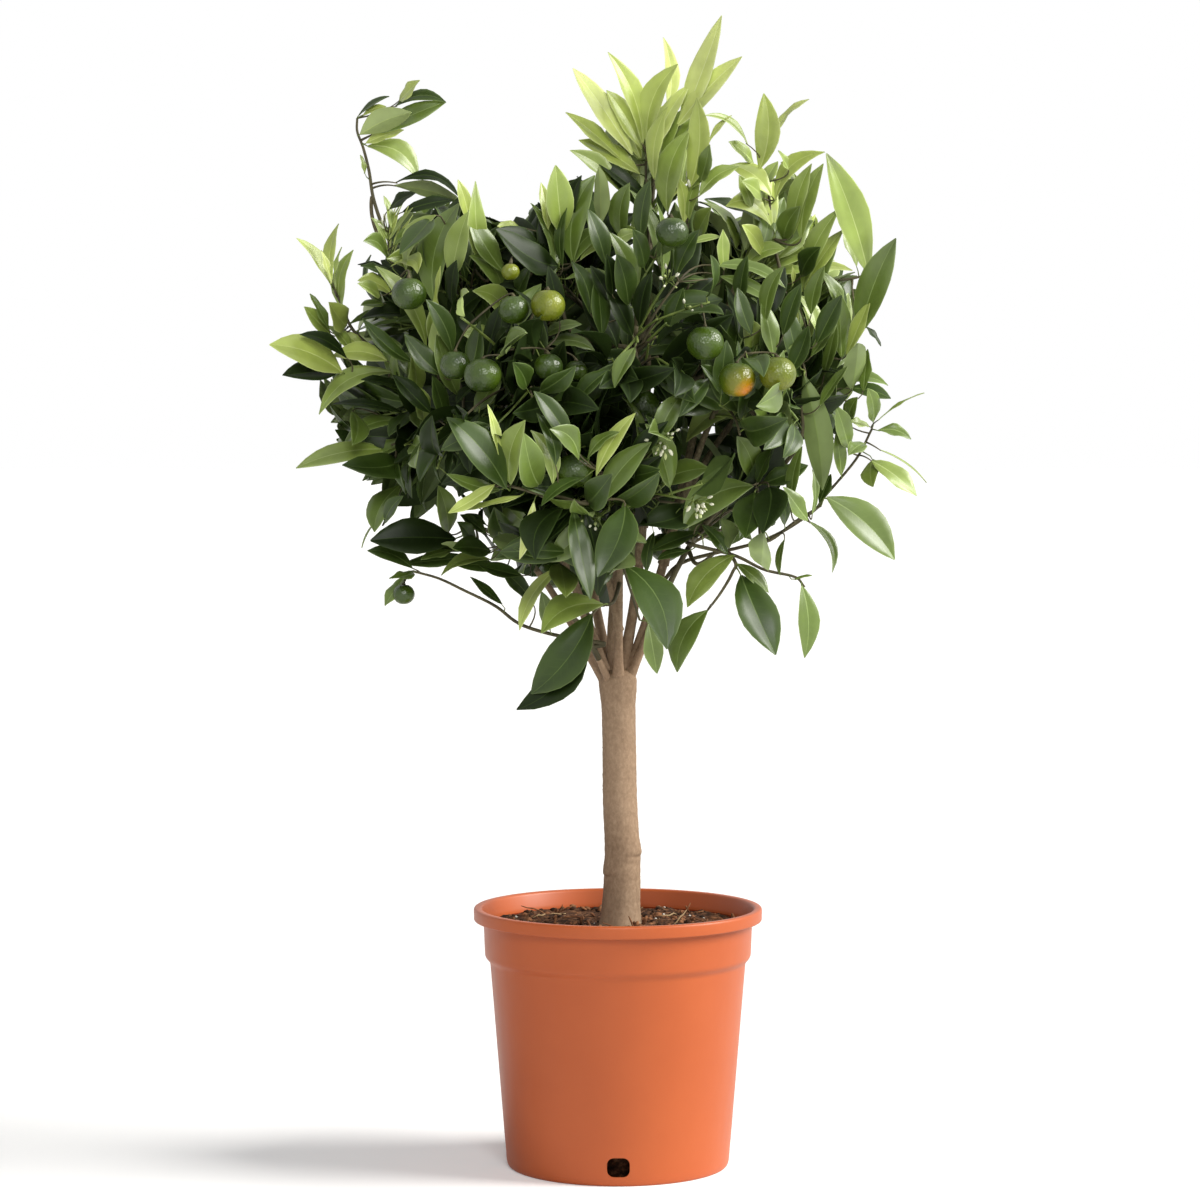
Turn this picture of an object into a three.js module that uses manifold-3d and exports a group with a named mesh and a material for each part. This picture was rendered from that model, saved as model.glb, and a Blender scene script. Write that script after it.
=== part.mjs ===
// A young calamondin orange tree on a single stem, growing in a round nursery pot of compost.
// Millimetres, +Z up. The origin is the middle of the pot's flat underside, and -Y is the tree's front.
import * as THREE from "three";
import { mergeVertices } from "three/addons/utils/BufferGeometryUtils.js";
import Module from "manifold-3d";

const wasm = await Module();
wasm.setup();

// ---- Driving dimensions ----

const gap = 0.3; // clearance between pieces that touch
const up = new THREE.Vector3(0, 0, 1);
const goldenAngle = Math.PI * (3 - Math.sqrt(5));

const pot = {
  height: 180,
  rimRadius: 100, // outside, and so half the pot's nominal size
  lipHeight: 9,
  lipWidth: 5.6,
  bandRadius: 93.2, // the wider band under the lip
  bandHeight: 25,
  bandDraft: 1,
  step: 3.6, // how far the wall steps in under the band
  stepHeight: 4,
  footRadius: 77,
  footEdge: 3,
  wall: 1.6,
  floor: 2.4,
  facets: 36,
};
const drain = { count: 4, width: 15.4, height: 13.4, corner: 4.6, bottom: 6.6 }; // holes low in the wall
const compost = { depth: 13, seat: 19, lump: 2.4 }; // depth below the rim; flat seat round the trunk
const trunk = {
  top: 346,
  waist: 11, // least radius, halfway up
  swell: 2.2, // how much wider it is low down
  swellHeight: 42,
  flare: 1.6, // and right at the compost
  flareHeight: 6,
  head: 1.6, // swelling where the limbs part
  headHeight: 13,
  knots: [
    { height: 41, turn: 235, size: 1.5 },
    { height: 57, turn: 0, size: 1.7 },
  ],
  sway: [1.7, 3.2, 1.4, 0.8, -0.4], // sideways place of the centreline, from foot to head
  facets: 14,
  rings: 16,
};
const crownHeart = new THREE.Vector3(0, 0, 550);
const limb = {
  trunkRadius: 4.4,
  boughRadius: 3.3,
  tipRadius: 2.1,
  leastSlope: 0.24, // how far a limb at least leans out for its rise as it leaves the trunk
  slope: 0.4, // how far one that ends well out and high leans
  lowSlope: 0.8, // and how much more the lowest ones lean
  lowFrom: 505, // limbs that end lower than this count as low, the more the further down they end
  lowDepth: 100,
  facets: 5,
  rings: 5,
};
const twig = {
  stemRadius: 2.6,
  stemTip: 2,
  stemRings: 3,
  shootRadius: 1.15,
  shootTip: 1,
  shootRings: 2,
  stalkRadius: 0.8,
  facets: 3,
};
const leaf = {
  length: 76,
  width: 0.47, // against the length, as are the thickness and the arch
  youngLength: 80,
  youngWidth: 0.37,
  root: 2.5, // how far its foot is sunk along the twig
  thickness: 0.024,
  arch: 0.14,
};
const shootEvery = 15; // mean reach of a mass for each of its shoots
const leavesOnShoot = 5;
const fruitRadius = 12;

// Masses of foliage: the middle of each one's space, how far it reaches along X, Y and Z, and what its bough
// leaves: the trunk's head, or another mass's bough at that share of its length. A bowed bough swings aside
// before it reaches its mass.
const masses = [
  { name: "upper_left", middle: [-134, -16, 611], reach: [104, 104, 90], from: "trunk" },
  {
    name: "sprig_left",
    middle: [-152, -4, 706],
    reach: [44, 44, 52],
    from: "upper_left",
    at: 0.72,
    bow: [-88, 0, 6],
  },
  { name: "lower_left", middle: [-138, -4, 523], reach: [104, 106, 84], from: "upper_left", at: 0.3 },
  { name: "low_left", middle: [-112, -22, 435], reach: [76, 76, 54], from: "trunk" },
  { name: "top", middle: [28, 4, 703], reach: [82, 92, 98], from: "trunk", young: true },
  { name: "top_left", middle: [-40, -14, 639], reach: [76, 90, 70], from: "top", at: 0.5 },
  { name: "upper_right", middle: [108, 4, 655], reach: [86, 100, 96], from: "trunk", young: true },
  { name: "right", middle: [134, 4, 553], reach: [88, 106, 94], from: "upper_right", at: 0.42 },
  { name: "low_right", middle: [112, -20, 459], reach: [98, 94, 98], from: "trunk" },
  { name: "front_low", middle: [4, -100, 463], reach: [100, 94, 88], from: "trunk" },
  { name: "front_left", middle: [-76, -98, 553], reach: [96, 96, 98], from: "front_low", at: 0.45 },
  { name: "front_middle", middle: [14, -100, 585], reach: [84, 96, 98], from: "top", at: 0.26 },
  { name: "front_right", middle: [100, -92, 557], reach: [92, 96, 98], from: "upper_right", at: 0.3 },
  { name: "middle", middle: [-26, -2, 521], reach: [74, 70, 84], from: "trunk" },
  { name: "bottom", middle: [-42, -52, 373], reach: [46, 52, 62], from: "trunk" },
  { name: "back_left", middle: [-78, 92, 577], reach: [106, 102, 108], from: "trunk" },
  { name: "back_right", middle: [82, 94, 583], reach: [106, 102, 108], from: "top", at: 0.34 },
  { name: "back_low", middle: [4, 97, 457], reach: [112, 100, 86], from: "trunk" },
];

// Fruit that hangs in view at the front: its X, its Z and its size against the usual one.
const frontFruit = [
  { x: 82, z: 545, size: 1.02 },
  { x: 110, z: 549, size: 1.02 },
  { x: 60, z: 570, size: 1.02 },
  { x: -48, z: 596, size: 0.94 },
  { x: -72, z: 593, size: 0.84 },
  { x: -93, z: 548, size: 1.02 },
  { x: -112, z: 555, size: 0.84 },
  { x: -48, z: 554, size: 0.78 },
  { x: 37, z: 646, size: 0.9 },
  { x: 17, z: 527, size: 0.94 },
  { x: -30, z: 482, size: 1.02 },
  { x: -145, z: 603, size: 0.98 },
  { x: -74, z: 619, size: 0.54 },
  { x: -146, z: 399, size: 0.58 },
];
const hiddenFruitShare = 0.14; // share of the shoots behind the front that carry one

// ---- Chance and small geometry ----

// A number from 0 to 1 that depends only on the whole numbers given: leaving a leaf out changes no other.
function chance(...keys) {
  let hash = 2166136261;
  for (const key of keys) {
    hash = Math.imul(hash ^ key, 16777619);
    hash ^= hash >>> 15;
    hash = Math.imul(hash, 2246822519);
    hash ^= hash >>> 13;
  }
  return (hash >>> 0) / 4294967296;
}

const mix = (a, b, share) => a + (b - a) * share;
const clamp = (value, low, high) => Math.min(high, Math.max(low, value));
const vector = (point) => new THREE.Vector3(...point);

// The part of `v` that is square to the unit vector `axis`, made one long.
function squareTo(v, axis) {
  return v.clone().addScaledVector(axis, -v.dot(axis)).normalize();
}

// A direction square to `axis`, the same every time.
function anySideOf(axis) {
  const side = new THREE.Vector3().crossVectors(axis, up);
  return side.length() > 0.2 ? side.normalize() : squareTo(new THREE.Vector3(1, 0, 0), axis);
}

// The point at a share of a tube's length, on its straight runs from ring to ring.
function onTube({ curve, from, to, rings }, share) {
  const place = share * rings;
  const ring = Math.min(Math.floor(place), rings - 1);
  const before = curve.getPoint(mix(from, to, ring / rings));
  return before.lerp(curve.getPoint(mix(from, to, (ring + 1) / rings)), place - ring);
}

// A closed tube round a curve between two parameters. Its radius is a function of the share of its length.
function tubeGeometry({ curve, from, to, rings }, radiusAt, facets) {
  const tube = new THREE.CylinderGeometry(1, 1, 1, facets, rings);
  const places = tube.attributes.position;
  const sideways = anySideOf(curve.getPoint(to).sub(curve.getPoint(from)).normalize());
  for (let i = 0; i < places.count; i++) {
    const share = places.getY(i) + 0.5;
    const along = curve.getTangent(mix(from, to, share));
    const across = squareTo(sideways, along);
    const above = new THREE.Vector3().crossVectors(across, along);
    const radius = radiusAt(share);
    const place = curve
      .getPoint(mix(from, to, share))
      .addScaledVector(across, places.getX(i) * radius)
      .addScaledVector(above, places.getZ(i) * radius);
    places.setXYZ(i, place.x, place.y, place.z);
  }
  return tube;
}

// ---- Solids ----

function solidOf(geometry) {
  const bare = geometry.clone();
  bare.deleteAttribute("normal");
  bare.deleteAttribute("uv");
  const merged = mergeVertices(bare, 1e-4);
  return new wasm.Manifold(
    new wasm.Mesh({
      numProp: 3,
      vertProperties: new Float32Array(merged.attributes.position.array),
      triVerts: new Uint32Array(merged.index.array),
    }),
  );
}

// The largest body of a solid: loose scraps and sealed hollows are dropped.
function largestBody(solid) {
  return solid.decompose().sort((a, b) => b.volume() - a.volume())[0];
}

function geometryOf(solid) {
  const mesh = solid.getMesh();
  const geometry = new THREE.BufferGeometry();
  geometry.setAttribute("position", new THREE.BufferAttribute(mesh.vertProperties, 3));
  geometry.setIndex(new THREE.BufferAttribute(mesh.triVerts, 1));
  geometry.computeVertexNormals();
  return geometry;
}

// ---- Pot and compost ----

const bandFoot = pot.height - pot.lipHeight - pot.bandHeight;
const wallTop = bandFoot - pot.stepHeight;
const wallTopRadius = pot.bandRadius - pot.bandDraft - pot.step;

// Radius of the pot's inside at a height.
function insideRadius(height) {
  if (height > bandFoot) {
    return pot.bandRadius - pot.bandDraft - pot.wall;
  }
  const share = clamp(height / wallTop, 0, 1);
  return mix(pot.footRadius, wallTopRadius, share) - pot.wall;
}

function drainHole(turn) {
  const { width, height, corner, bottom } = drain;
  const outline = new THREE.Shape();
  outline.moveTo(-width / 2 + corner, bottom);
  outline.lineTo(width / 2 - corner, bottom);
  outline.absarc(width / 2 - corner, bottom + corner, corner, -Math.PI / 2, 0);
  outline.absarc(width / 2 - corner, bottom + height - corner, corner, 0, Math.PI / 2);
  outline.absarc(-width / 2 + corner, bottom + height - corner, corner, Math.PI / 2, Math.PI);
  outline.absarc(-width / 2 + corner, bottom + corner, corner, Math.PI, Math.PI * 1.5);
  const depth = pot.footRadius * 0.4;
  const hole = new THREE.ExtrudeGeometry(outline, { depth, bevelEnabled: false, curveSegments: 3 });
  hole.rotateX(Math.PI / 2).translate(0, -pot.footRadius * 0.7, 0).rotateZ(turn);
  return solidOf(hole);
}

function potSolid() {
  const lipFoot = pot.height - pot.lipHeight;
  const lipInside = pot.rimRadius - pot.lipWidth;
  const soft = 1.4; // rounding of the lip's edges
  const edgeTurns = [0.4, 0.8].map((share) => (share * Math.PI) / 2);
  const profile = [
    [0, 0],
    [pot.footRadius - pot.footEdge, 0],
    ...edgeTurns.map((turn) => [
      pot.footRadius - pot.footEdge * (1 - Math.sin(turn)),
      pot.footEdge * (1 - Math.cos(turn)),
    ]),
    [wallTopRadius, wallTop],
    [pot.bandRadius - pot.bandDraft - soft, bandFoot - soft],
    [pot.bandRadius - pot.bandDraft, bandFoot + soft],
    [pot.bandRadius, lipFoot],
    [pot.rimRadius - soft / 2, lipFoot],
    [pot.rimRadius, lipFoot + soft],
    [pot.rimRadius, pot.height - soft],
    [pot.rimRadius - soft, pot.height],
    [lipInside + soft, pot.height],
    [lipInside, pot.height - soft],
    [pot.bandRadius - pot.wall, lipFoot - soft],
    [insideRadius(bandFoot + 1), bandFoot],
    [insideRadius(wallTop), wallTop],
    [insideRadius(pot.floor), pot.floor],
    [0, pot.floor],
  ];
  const shell = new THREE.LatheGeometry(
    profile.map(([radius, height]) => new THREE.Vector2(radius, height)),
    pot.facets,
  );
  shell.rotateX(Math.PI / 2);
  let solid = solidOf(shell);
  for (let i = 0; i < drain.count; i++) {
    solid = solid.subtract(drainHole((i * 2 * Math.PI) / drain.count));
  }
  return solid;
}

const compostTop = pot.height - compost.depth;

function compostSolid() {
  const topRadius = insideRadius(compostTop) - gap;
  const surface = [0.82, 0.62, 0.42].map((share) => [share * topRadius, compostTop]);
  const profile = [
    [0, pot.floor + gap],
    [insideRadius(pot.floor) - gap, pot.floor + gap],
    [insideRadius(wallTop) - gap, wallTop],
    [topRadius, bandFoot + 1],
    [topRadius, compostTop],
    ...surface,
    [compost.seat, compostTop],
    [0, compostTop],
  ];
  const heap = new THREE.LatheGeometry(
    profile.map(([radius, height]) => new THREE.Vector2(radius, height)),
    pot.facets,
  );
  heap.rotateX(Math.PI / 2);
  const places = heap.attributes.position;
  for (let i = 0; i < places.count; i++) {
    const radius = Math.hypot(places.getX(i), places.getY(i));
    if (places.getZ(i) < compostTop - 0.1 || radius < compost.seat + 1 || radius > topRadius - 0.1) continue;
    const keys = [places.getX(i), places.getY(i)].map((side) => Math.round(side * 4) + 4000);
    const lump = chance(...keys) * 2 - 1;
    places.setZ(i, compostTop + lump * compost.lump);
  }
  return solidOf(heap);
}

// ---- Trunk ----

const trunkFoot = compostTop + gap;
const trunkCurve = new THREE.CatmullRomCurve3(
  trunk.sway.map(
    (x, i) => new THREE.Vector3(x, 0.4 * i, mix(trunkFoot, trunk.top, i / (trunk.sway.length - 1))),
  ),
);
const trunkLength = trunk.top - trunkFoot;
const bump = (distance, width) => Math.exp(-((distance / width) ** 2));

function trunkRadius(height, turn) {
  const dome = Math.sqrt(clamp(1 - ((height - (trunkLength - 9)) / 9.5) ** 2, 0.02, 1));
  let radius =
    trunk.waist +
    trunk.swell * Math.exp(-height / trunk.swellHeight) +
    trunk.flare * Math.exp(-height / trunk.flareHeight) +
    trunk.head * bump(height - (trunkLength - 9), trunk.headHeight);
  for (const knot of trunk.knots) {
    const away = 1 - Math.cos(turn - THREE.MathUtils.degToRad(knot.turn));
    radius += knot.size * bump(height - knot.height, 6) * Math.exp(-away * 2.2);
  }
  return height > trunkLength - 9 ? radius * dome : radius;
}

function trunkSolid(swell) {
  const post = new THREE.CylinderGeometry(1, 1, 1, trunk.facets, trunk.rings);
  const places = post.attributes.position;
  for (let i = 0; i < places.count; i++) {
    const share = (places.getY(i) + 0.5) ** 0.8; // rings lie closer together near the head
    const turn = Math.atan2(-places.getZ(i), places.getX(i));
    const onAxis = Math.hypot(places.getX(i), places.getZ(i)) < 0.5;
    const reach = onAxis ? 0 : trunkRadius(share * trunkLength, turn) + swell;
    const middle = trunkCurve.getPoint(share);
    places.setXYZ(
      i,
      middle.x + Math.cos(turn) * reach,
      middle.y + Math.sin(turn) * reach,
      middle.z + (share > 0.99 ? swell : 0),
    );
  }
  return solidOf(post);
}

// ---- Limbs: one path from the trunk or a bough to the middle of each mass ----

for (const mass of masses) {
  mass.middle = vector(mass.middle);
  mass.reach = vector(mass.reach);
  mass.size = (mass.reach.x + mass.reach.y + mass.reach.z) / 3;
  mass.outward = mass.middle.clone().sub(crownHeart).normalize();
}
const massNamed = (name) => masses.find((mass) => mass.name === name);

// How far a point is inside the flat walls that part a mass's space from its neighbours'. A larger mass
// pushes its walls a little towards the smaller ones.
function clearOfNeighbours(mass, point) {
  const own = point.distanceToSquared(mass.middle) - 0.35 * mass.size ** 2;
  let nearest = Infinity;
  for (const other of masses) {
    if (other === mass) continue;
    const theirs = point.distanceToSquared(other.middle) - 0.35 * other.size ** 2;
    nearest = Math.min(nearest, (theirs - own) / (2 * mass.middle.distanceTo(other.middle)));
  }
  return nearest;
}

function inSpace(mass, point, margin = gap) {
  const offset = point.clone().sub(mass.middle).divide(mass.reach);
  return offset.length() <= 1 && clearOfNeighbours(mass, point) >= margin;
}

function layPath(mass) {
  const heart = mass.middle.clone().addScaledVector(mass.outward, mass.size * -0.18);
  let start;
  let leaving;
  if (mass.from === "trunk") {
    const head = trunkCurve.getPoint(1);
    const radial = heart.clone().sub(head).setZ(0);
    const spread = clamp(radial.length() / 90, 0, 1);
    const lowness = clamp((limb.lowFrom - heart.z) / limb.lowDepth, 0, 1);
    radial.setLength(spread);
    start = head.addScaledVector(radial, 6).addScaledVector(up, -8 - 7 * lowness);
    const lean = Math.max(limb.leastSlope, spread * (limb.slope + limb.lowSlope * lowness ** 2));
    leaving = radial.setLength(lean).add(up).normalize();
    mass.baseRadius = mix(limb.trunkRadius, limb.boughRadius, lowness);
  } else {
    const parent = massNamed(mass.from);
    const place = mass.at * parent.entry;
    start = parent.path.getPoint(place);
    leaving = parent.path.getTangent(place);
    leaving.add(heart.clone().sub(start).normalize()).normalize();
    mass.baseRadius = Math.min(limb.boughRadius, boughRadius(parent, mass.at) * 0.9);
  }
  const span = heart.distanceTo(start);
  const arriving = heart.clone().sub(crownHeart).normalize();
  arriving.addScaledVector(up, 0.7).normalize();
  mass.path = new THREE.CubicBezierCurve3(
    start,
    start.clone().addScaledVector(leaving, span * 0.36),
    heart.clone().addScaledVector(arriving, -span * 0.3).add(vector(mass.bow ?? [0, 0, 0])),
    heart,
  );
  mass.entry = entryOf(mass);
}

// The path's parameter where it enters the mass's space for good.
function entryOf(mass) {
  const steps = 200;
  let entry = steps;
  while (entry > 0 && inSpace(mass, mass.path.getPoint((entry - 1) / steps), 2.4)) entry--;
  return entry / steps;
}

function boughRadius(mass, share) {
  return mix(mass.baseRadius, limb.tipRadius, Math.sqrt(share));
}

masses.forEach(layPath);

// Points along every limb, each with its radius, for testing what would touch it.
const limbPoints = [];
for (let i = 0; i <= 60; i++) {
  limbPoints.push({ place: trunkCurve.getPoint(i / 60), radius: trunk.waist + trunk.head });
}
for (const mass of masses) {
  const steps = Math.ceil((mass.path.getLength() * mass.entry) / 2);
  for (let i = 0; i <= steps; i++) {
    limbPoints.push({
      place: mass.path.getPoint((mass.entry * i) / steps),
      radius: boughRadius(mass, i / steps),
      mass,
    });
  }
}

// Boughs, each cut clear of the trunk and of those before it.
function boughSolids() {
  const swollenTrunk = trunkSolid(gap * 1.2);
  const made = [];
  for (const mass of masses) {
    const end = mass.entry - gap / 2 / mass.path.getLength();
    const tube = { curve: mass.path, from: 0, to: end, rings: limb.rings };
    const thick = (swell) =>
      solidOf(tubeGeometry(tube, (share) => boughRadius(mass, share) + swell, limb.facets));
    let solid = thick(0);
    if (mass.from === "trunk") solid = solid.subtract(swollenTrunk);
    for (const earlier of made) solid = solid.subtract(earlier.swollen);
    solid = largestBody(solid);
    made.push({ mass, solid, swollen: thick(gap * 1.3) });
  }
  return made;
}

// ---- Foliage: the rule by which a mass grows ----

// How far a mass's space reaches from its middle in a direction.
function spaceReach(mass, direction) {
  let reach = 8;
  while (inSpace(mass, mass.middle.clone().addScaledVector(direction, reach + 4))) reach += 4;
  return reach;
}

// The tips of a mass's shoots, evenly scattered through its space and in order along its stem.
function shootTips(mass, number) {
  const count = Math.round(mass.size / shootEvery);
  const stemAim = mass.path.getTangent(1);
  const aside = anySideOf(mass.outward);
  const tips = [];
  for (let k = 0; k < count; k++) {
    const forward = 1 - 1.55 * ((0.5 + k * 0.7548776662466927 + chance(number, 1)) % 1);
    const turn = 2 * Math.PI * ((0.5 + k * 0.5698402909980532 + chance(number, 2)) % 1);
    const depth = mix(0.5, 0.82, (k * 0.6180339887 + chance(number, 3)) % 1);
    const direction = mass.outward.clone().multiplyScalar(forward);
    const ring = aside.clone().applyAxisAngle(mass.outward, turn);
    direction.addScaledVector(ring, Math.sqrt(1 - forward * forward));
    tips.push(mass.middle.clone().addScaledVector(direction, spaceReach(mass, direction) * depth));
  }
  return tips.sort((a, b) => a.dot(stemAim) - b.dot(stemAim));
}

// The stem of a mass and the shoots that leave it one after another, each bending towards its tip.
function woodOf(mass, number) {
  const slack = gap / mass.path.getLength();
  const stem = { curve: mass.path, from: mass.entry + slack, to: 1, rings: twig.stemRings };
  const tips = shootTips(mass, number);
  const shoots = [];
  tips.forEach((tip, k) => {
    const share = mix(0.3, 0.97, (k + 0.5) / tips.length);
    const start = onTube(stem, share);
    const along = mass.path.getTangent(mix(stem.from, 1, share));
    const aim = tip.clone().sub(start);
    const span = aim.length();
    const bend = aim.normalize().lerp(along, 0.3).normalize().multiplyScalar(span * 0.5).add(start);
    const curve = new THREE.QuadraticBezierCurve3(start, bend, tip);
    const shoot = { curve, from: 0, to: 1, rings: twig.shootRings };
    if (span > 16 && tubeIsClear(mass, shoot, twig.shootRadius, 0.12)) shoots.push(shoot);
  });
  return { stem, shoots };
}

// One leaf of a shoot: where it springs, where it points and how it faces. Each try turns it further round.
function leafPose(mass, shoot, share, keys, tries) {
  const place = onTube(shoot, share);
  const along = shoot.curve.getTangent(share);
  const outward = place.clone().sub(crownHeart).normalize();
  const roll = goldenAngle * keys[2] + 2 * Math.PI * chance(keys[0], keys[1], 5) + 1.1 * tries;
  const radial = anySideOf(along).applyAxisAngle(along, roll);
  const opening = THREE.MathUtils.degToRad(mix(72, 34, share) + 20 * (chance(...keys, 6) - 0.5) + 9 * tries);
  const lift = clamp((place.z - 505) / 260, -0.6, 0.75) + 0.5 * (chance(...keys, 7) - 0.5);
  const axis = along
    .clone()
    .multiplyScalar(Math.cos(opening))
    .addScaledVector(radial, Math.sin(opening))
    .addScaledVector(up, lift * 0.7)
    .addScaledVector(outward, 0.22)
    .normalize();
  const face = squareTo(along.clone().addScaledVector(up, 0.55).addScaledVector(outward, 0.45), axis);
  face.applyAxisAngle(axis, 1.1 * (chance(...keys, 8) - 0.5));
  const usual = (mass.young ? leaf.youngLength : leaf.length) * clamp(mass.size / 66, 0.75, 1.08);
  const length = usual * mix(0.76, 1.14, chance(...keys, 9)) * mix(1.05, 0.88, share) * (1 - 0.04 * tries);
  const width = length * (mass.young ? leaf.youngWidth : leaf.width) * mix(0.88, 1.14, chance(...keys, 10));
  return { place, along, axis, face, length, width };
}

// A leaf's corners: its foot inside the twig, its edges and keel where it is widest, and its tip.
function leafCorners({ place, along, axis, face, length, width }) {
  const across = new THREE.Vector3().crossVectors(face, axis);
  const bow = leaf.arch * length * 0.5;
  const corner = (forward, side, rise) =>
    place.clone().addScaledVector(axis, forward).addScaledVector(across, side).addScaledVector(face, rise);
  const widest = 0.46 * length;
  return {
    foot: place.clone().addScaledVector(along, -leaf.root),
    left: corner(widest, -width / 2, bow),
    right: corner(widest, width / 2, bow),
    keel: corner(widest, 0, bow - leaf.thickness * length),
    middle: corner(widest, 0, bow),
    tip: corner(length, 0, -bow),
  };
}

// A three-sided double cone drawn out into a pointed blade with a keel below.
function leafGeometry({ foot, left, right, keel, tip }) {
  const blade = new THREE.CylinderGeometry(0, 0, 1, 3, 2);
  const places = blade.attributes.position;
  for (let i = 0; i < places.count; i++) {
    const y = places.getY(i);
    const turn = i % 4;
    let corner = [keel, right, left, keel][turn];
    if (Math.abs(y) > 0.4) corner = y > 0 ? tip : foot;
    places.setXYZ(i, corner.x, corner.y, corner.z);
  }
  return blade;
}

// Whether a blade passes within a clearance of any of the round points given.
function bladeMeets(corners, roundPoints, clearance) {
  const { foot, tip, left, right, middle } = corners;
  const halves = [new THREE.Triangle(foot, left, right), new THREE.Triangle(tip, left, right)];
  const reach = foot.distanceTo(tip) * 0.6 + 8;
  const nearest = new THREE.Vector3();
  return roundPoints.some(({ place, radius }) => {
    if (place.distanceTo(middle) > reach) return false;
    const meets = (half) => half.closestPointToPoint(place, nearest).distanceTo(place) < radius + clearance;
    return halves.some(meets);
  });
}

// Points on a blade's outline and midrib beyond its foot, for testing what it would pass through.
function bladePoints({ foot, tip, left, right, middle }) {
  const between = (a, b, share) => a.clone().lerp(b, share);
  const midrib = [between(foot, middle, 0.5), middle, between(middle, tip, 0.5), tip];
  const edges = [left, right, between(left, tip, 0.5), between(right, tip, 0.5)];
  const shoulders = [between(foot, left, 0.55), between(foot, right, 0.55)];
  return [...midrib, ...edges, ...shoulders].map((place) => ({ place, radius: 0 }));
}

function bladesCross(one, other) {
  return bladeMeets(one, bladePoints(other), 2.6) || bladeMeets(other, bladePoints(one), 2.6);
}

function ballIsClear(mass, middle, radius) {
  return (
    clearOfNeighbours(mass, middle) > radius + gap &&
    !limbPoints.some((point) => point.place.distanceTo(middle) < radius + point.radius + 1.2)
  );
}

function twigPoints(tube) {
  const points = [];
  for (let share = 0; share <= 1; share += 0.05) {
    points.push({ place: onTube(tube, share), radius: twig.shootRadius });
  }
  return points;
}

// Whether a tube keeps inside its mass's space and off every limb, apart from its first part.
function tubeIsClear(mass, tube, radius, first) {
  for (let share = 0; share <= 1; share += 0.05) {
    const point = onTube(tube, share);
    if (clearOfNeighbours(mass, point) < radius + gap) return false;
    if (share > first && !ballIsClear(mass, point, radius)) return false;
  }
  return true;
}

// A leaf that would hang in front of a fruit is left out, so that the fruit is seen.
function hidesFruit(corners, fruits) {
  return fruits.some(({ middle, radius, open }) =>
    [corners.foot, corners.tip, corners.left, corners.right, corners.middle].some((corner) => {
      const offset = corner.clone().sub(middle);
      const forward = offset.dot(open);
      return forward > -radius && offset.addScaledVector(open, -forward).length() < radius * 0.9;
    }),
  );
}

// Each fruit of the front list hangs as far forward as the masses reach there, and belongs to one of them.
const hungFruit = frontFruit.map(({ x, z, size }) => {
  const radius = fruitRadius * size;
  const middle = new THREE.Vector3(x, -200, z);
  const fits = (mass) => inSpace(mass, middle, radius + gap) && ballIsClear(mass, middle, radius);
  while (middle.y < 0 && !masses.some(fits)) middle.y += 4;
  middle.y += 22;
  return { middle, radius, open: new THREE.Vector3(0, -1, 0), mass: masses.find(fits) };
});

// Fruit below the shoots at the sides and back.
function hiddenFruitOf(mass, number, shoots) {
  const fruits = [];
  shoots.forEach((shoot, k) => {
    if (chance(number, k, 4) > hiddenFruitShare) return;
    const place = onTube(shoot, 0.7);
    const open = place.clone().sub(crownHeart).normalize();
    const radius = fruitRadius * mix(0.8, 1, chance(number, k, 11));
    const middle = place.addScaledVector(open, radius * 0.9).addScaledVector(up, -radius * 0.9);
    if (open.y > -0.5 && ballIsClear(mass, middle, radius)) fruits.push({ middle, radius, open });
  });
  return fruits;
}

// The first of a leaf's tries that stays in its space, off the limbs and clear of fruit and other leaves.
function leafThatFits(mass, shoot, share, keys, around) {
  for (let tries = 0; tries < 10; tries++) {
    const corners = leafCorners(leafPose(mass, shoot, share, keys, tries));
    if (!Object.values(corners).every((corner) => inSpace(mass, corner))) continue;
    if (bladeMeets(corners, limbPoints, 1.6) || bladeMeets(corners, around.twigs, 0.6)) continue;
    if (hidesFruit(corners, around.fruits)) continue;
    if (!around.leaves.some((other) => bladesCross(other, corners))) return corners;
  }
  return null;
}

// Everything that grows in a mass, clear of the limbs that pass through its space.
function growthOf(mass, number) {
  const { stem, shoots } = woodOf(mass, number);
  const inView = hungFruit.filter((fruit) => fruit.mass === mass);
  const fruits = [...inView, ...hiddenFruitOf(mass, number, shoots)];
  const leaves = [];
  shoots.forEach((shoot, k) => {
    const twigs = [stem, ...shoots].filter((tube) => tube !== shoot).flatMap(twigPoints);
    for (let j = 0; j < leavesOnShoot; j++) {
      const share = Math.min(mix(0.2, 1.12, (j + 0.5) / leavesOnShoot), 0.98);
      const corners = leafThatFits(mass, shoot, share, [number, k, j], { twigs, fruits, leaves });
      if (corners) leaves.push(corners);
    }
  });
  return { stem, shoots, leaves, fruits };
}

// A fruit's stalk, from the nearest wood of its own mass.
function stalkOf(stem, shoots, fruit) {
  let foot = onTube(stem, 1);
  for (const tube of [stem, ...shoots]) {
    for (let share = 0.2; share <= 1; share += 0.1) {
      const point = onTube(tube, share);
      if (point.distanceTo(fruit.middle) < foot.distanceTo(fruit.middle)) foot = point;
    }
  }
  return { curve: new THREE.LineCurve3(foot, fruit.middle), from: 0, to: 0.9, rings: 1 };
}

function fruitGeometry({ middle, radius }) {
  const ball = new THREE.SphereGeometry(radius, 6, 5).rotateX(Math.PI / 2);
  return ball.scale(1, 1, 0.94).translate(middle.x, middle.y, middle.z);
}

const slight = { edge: 0.006, height: 0.004 };

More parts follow.
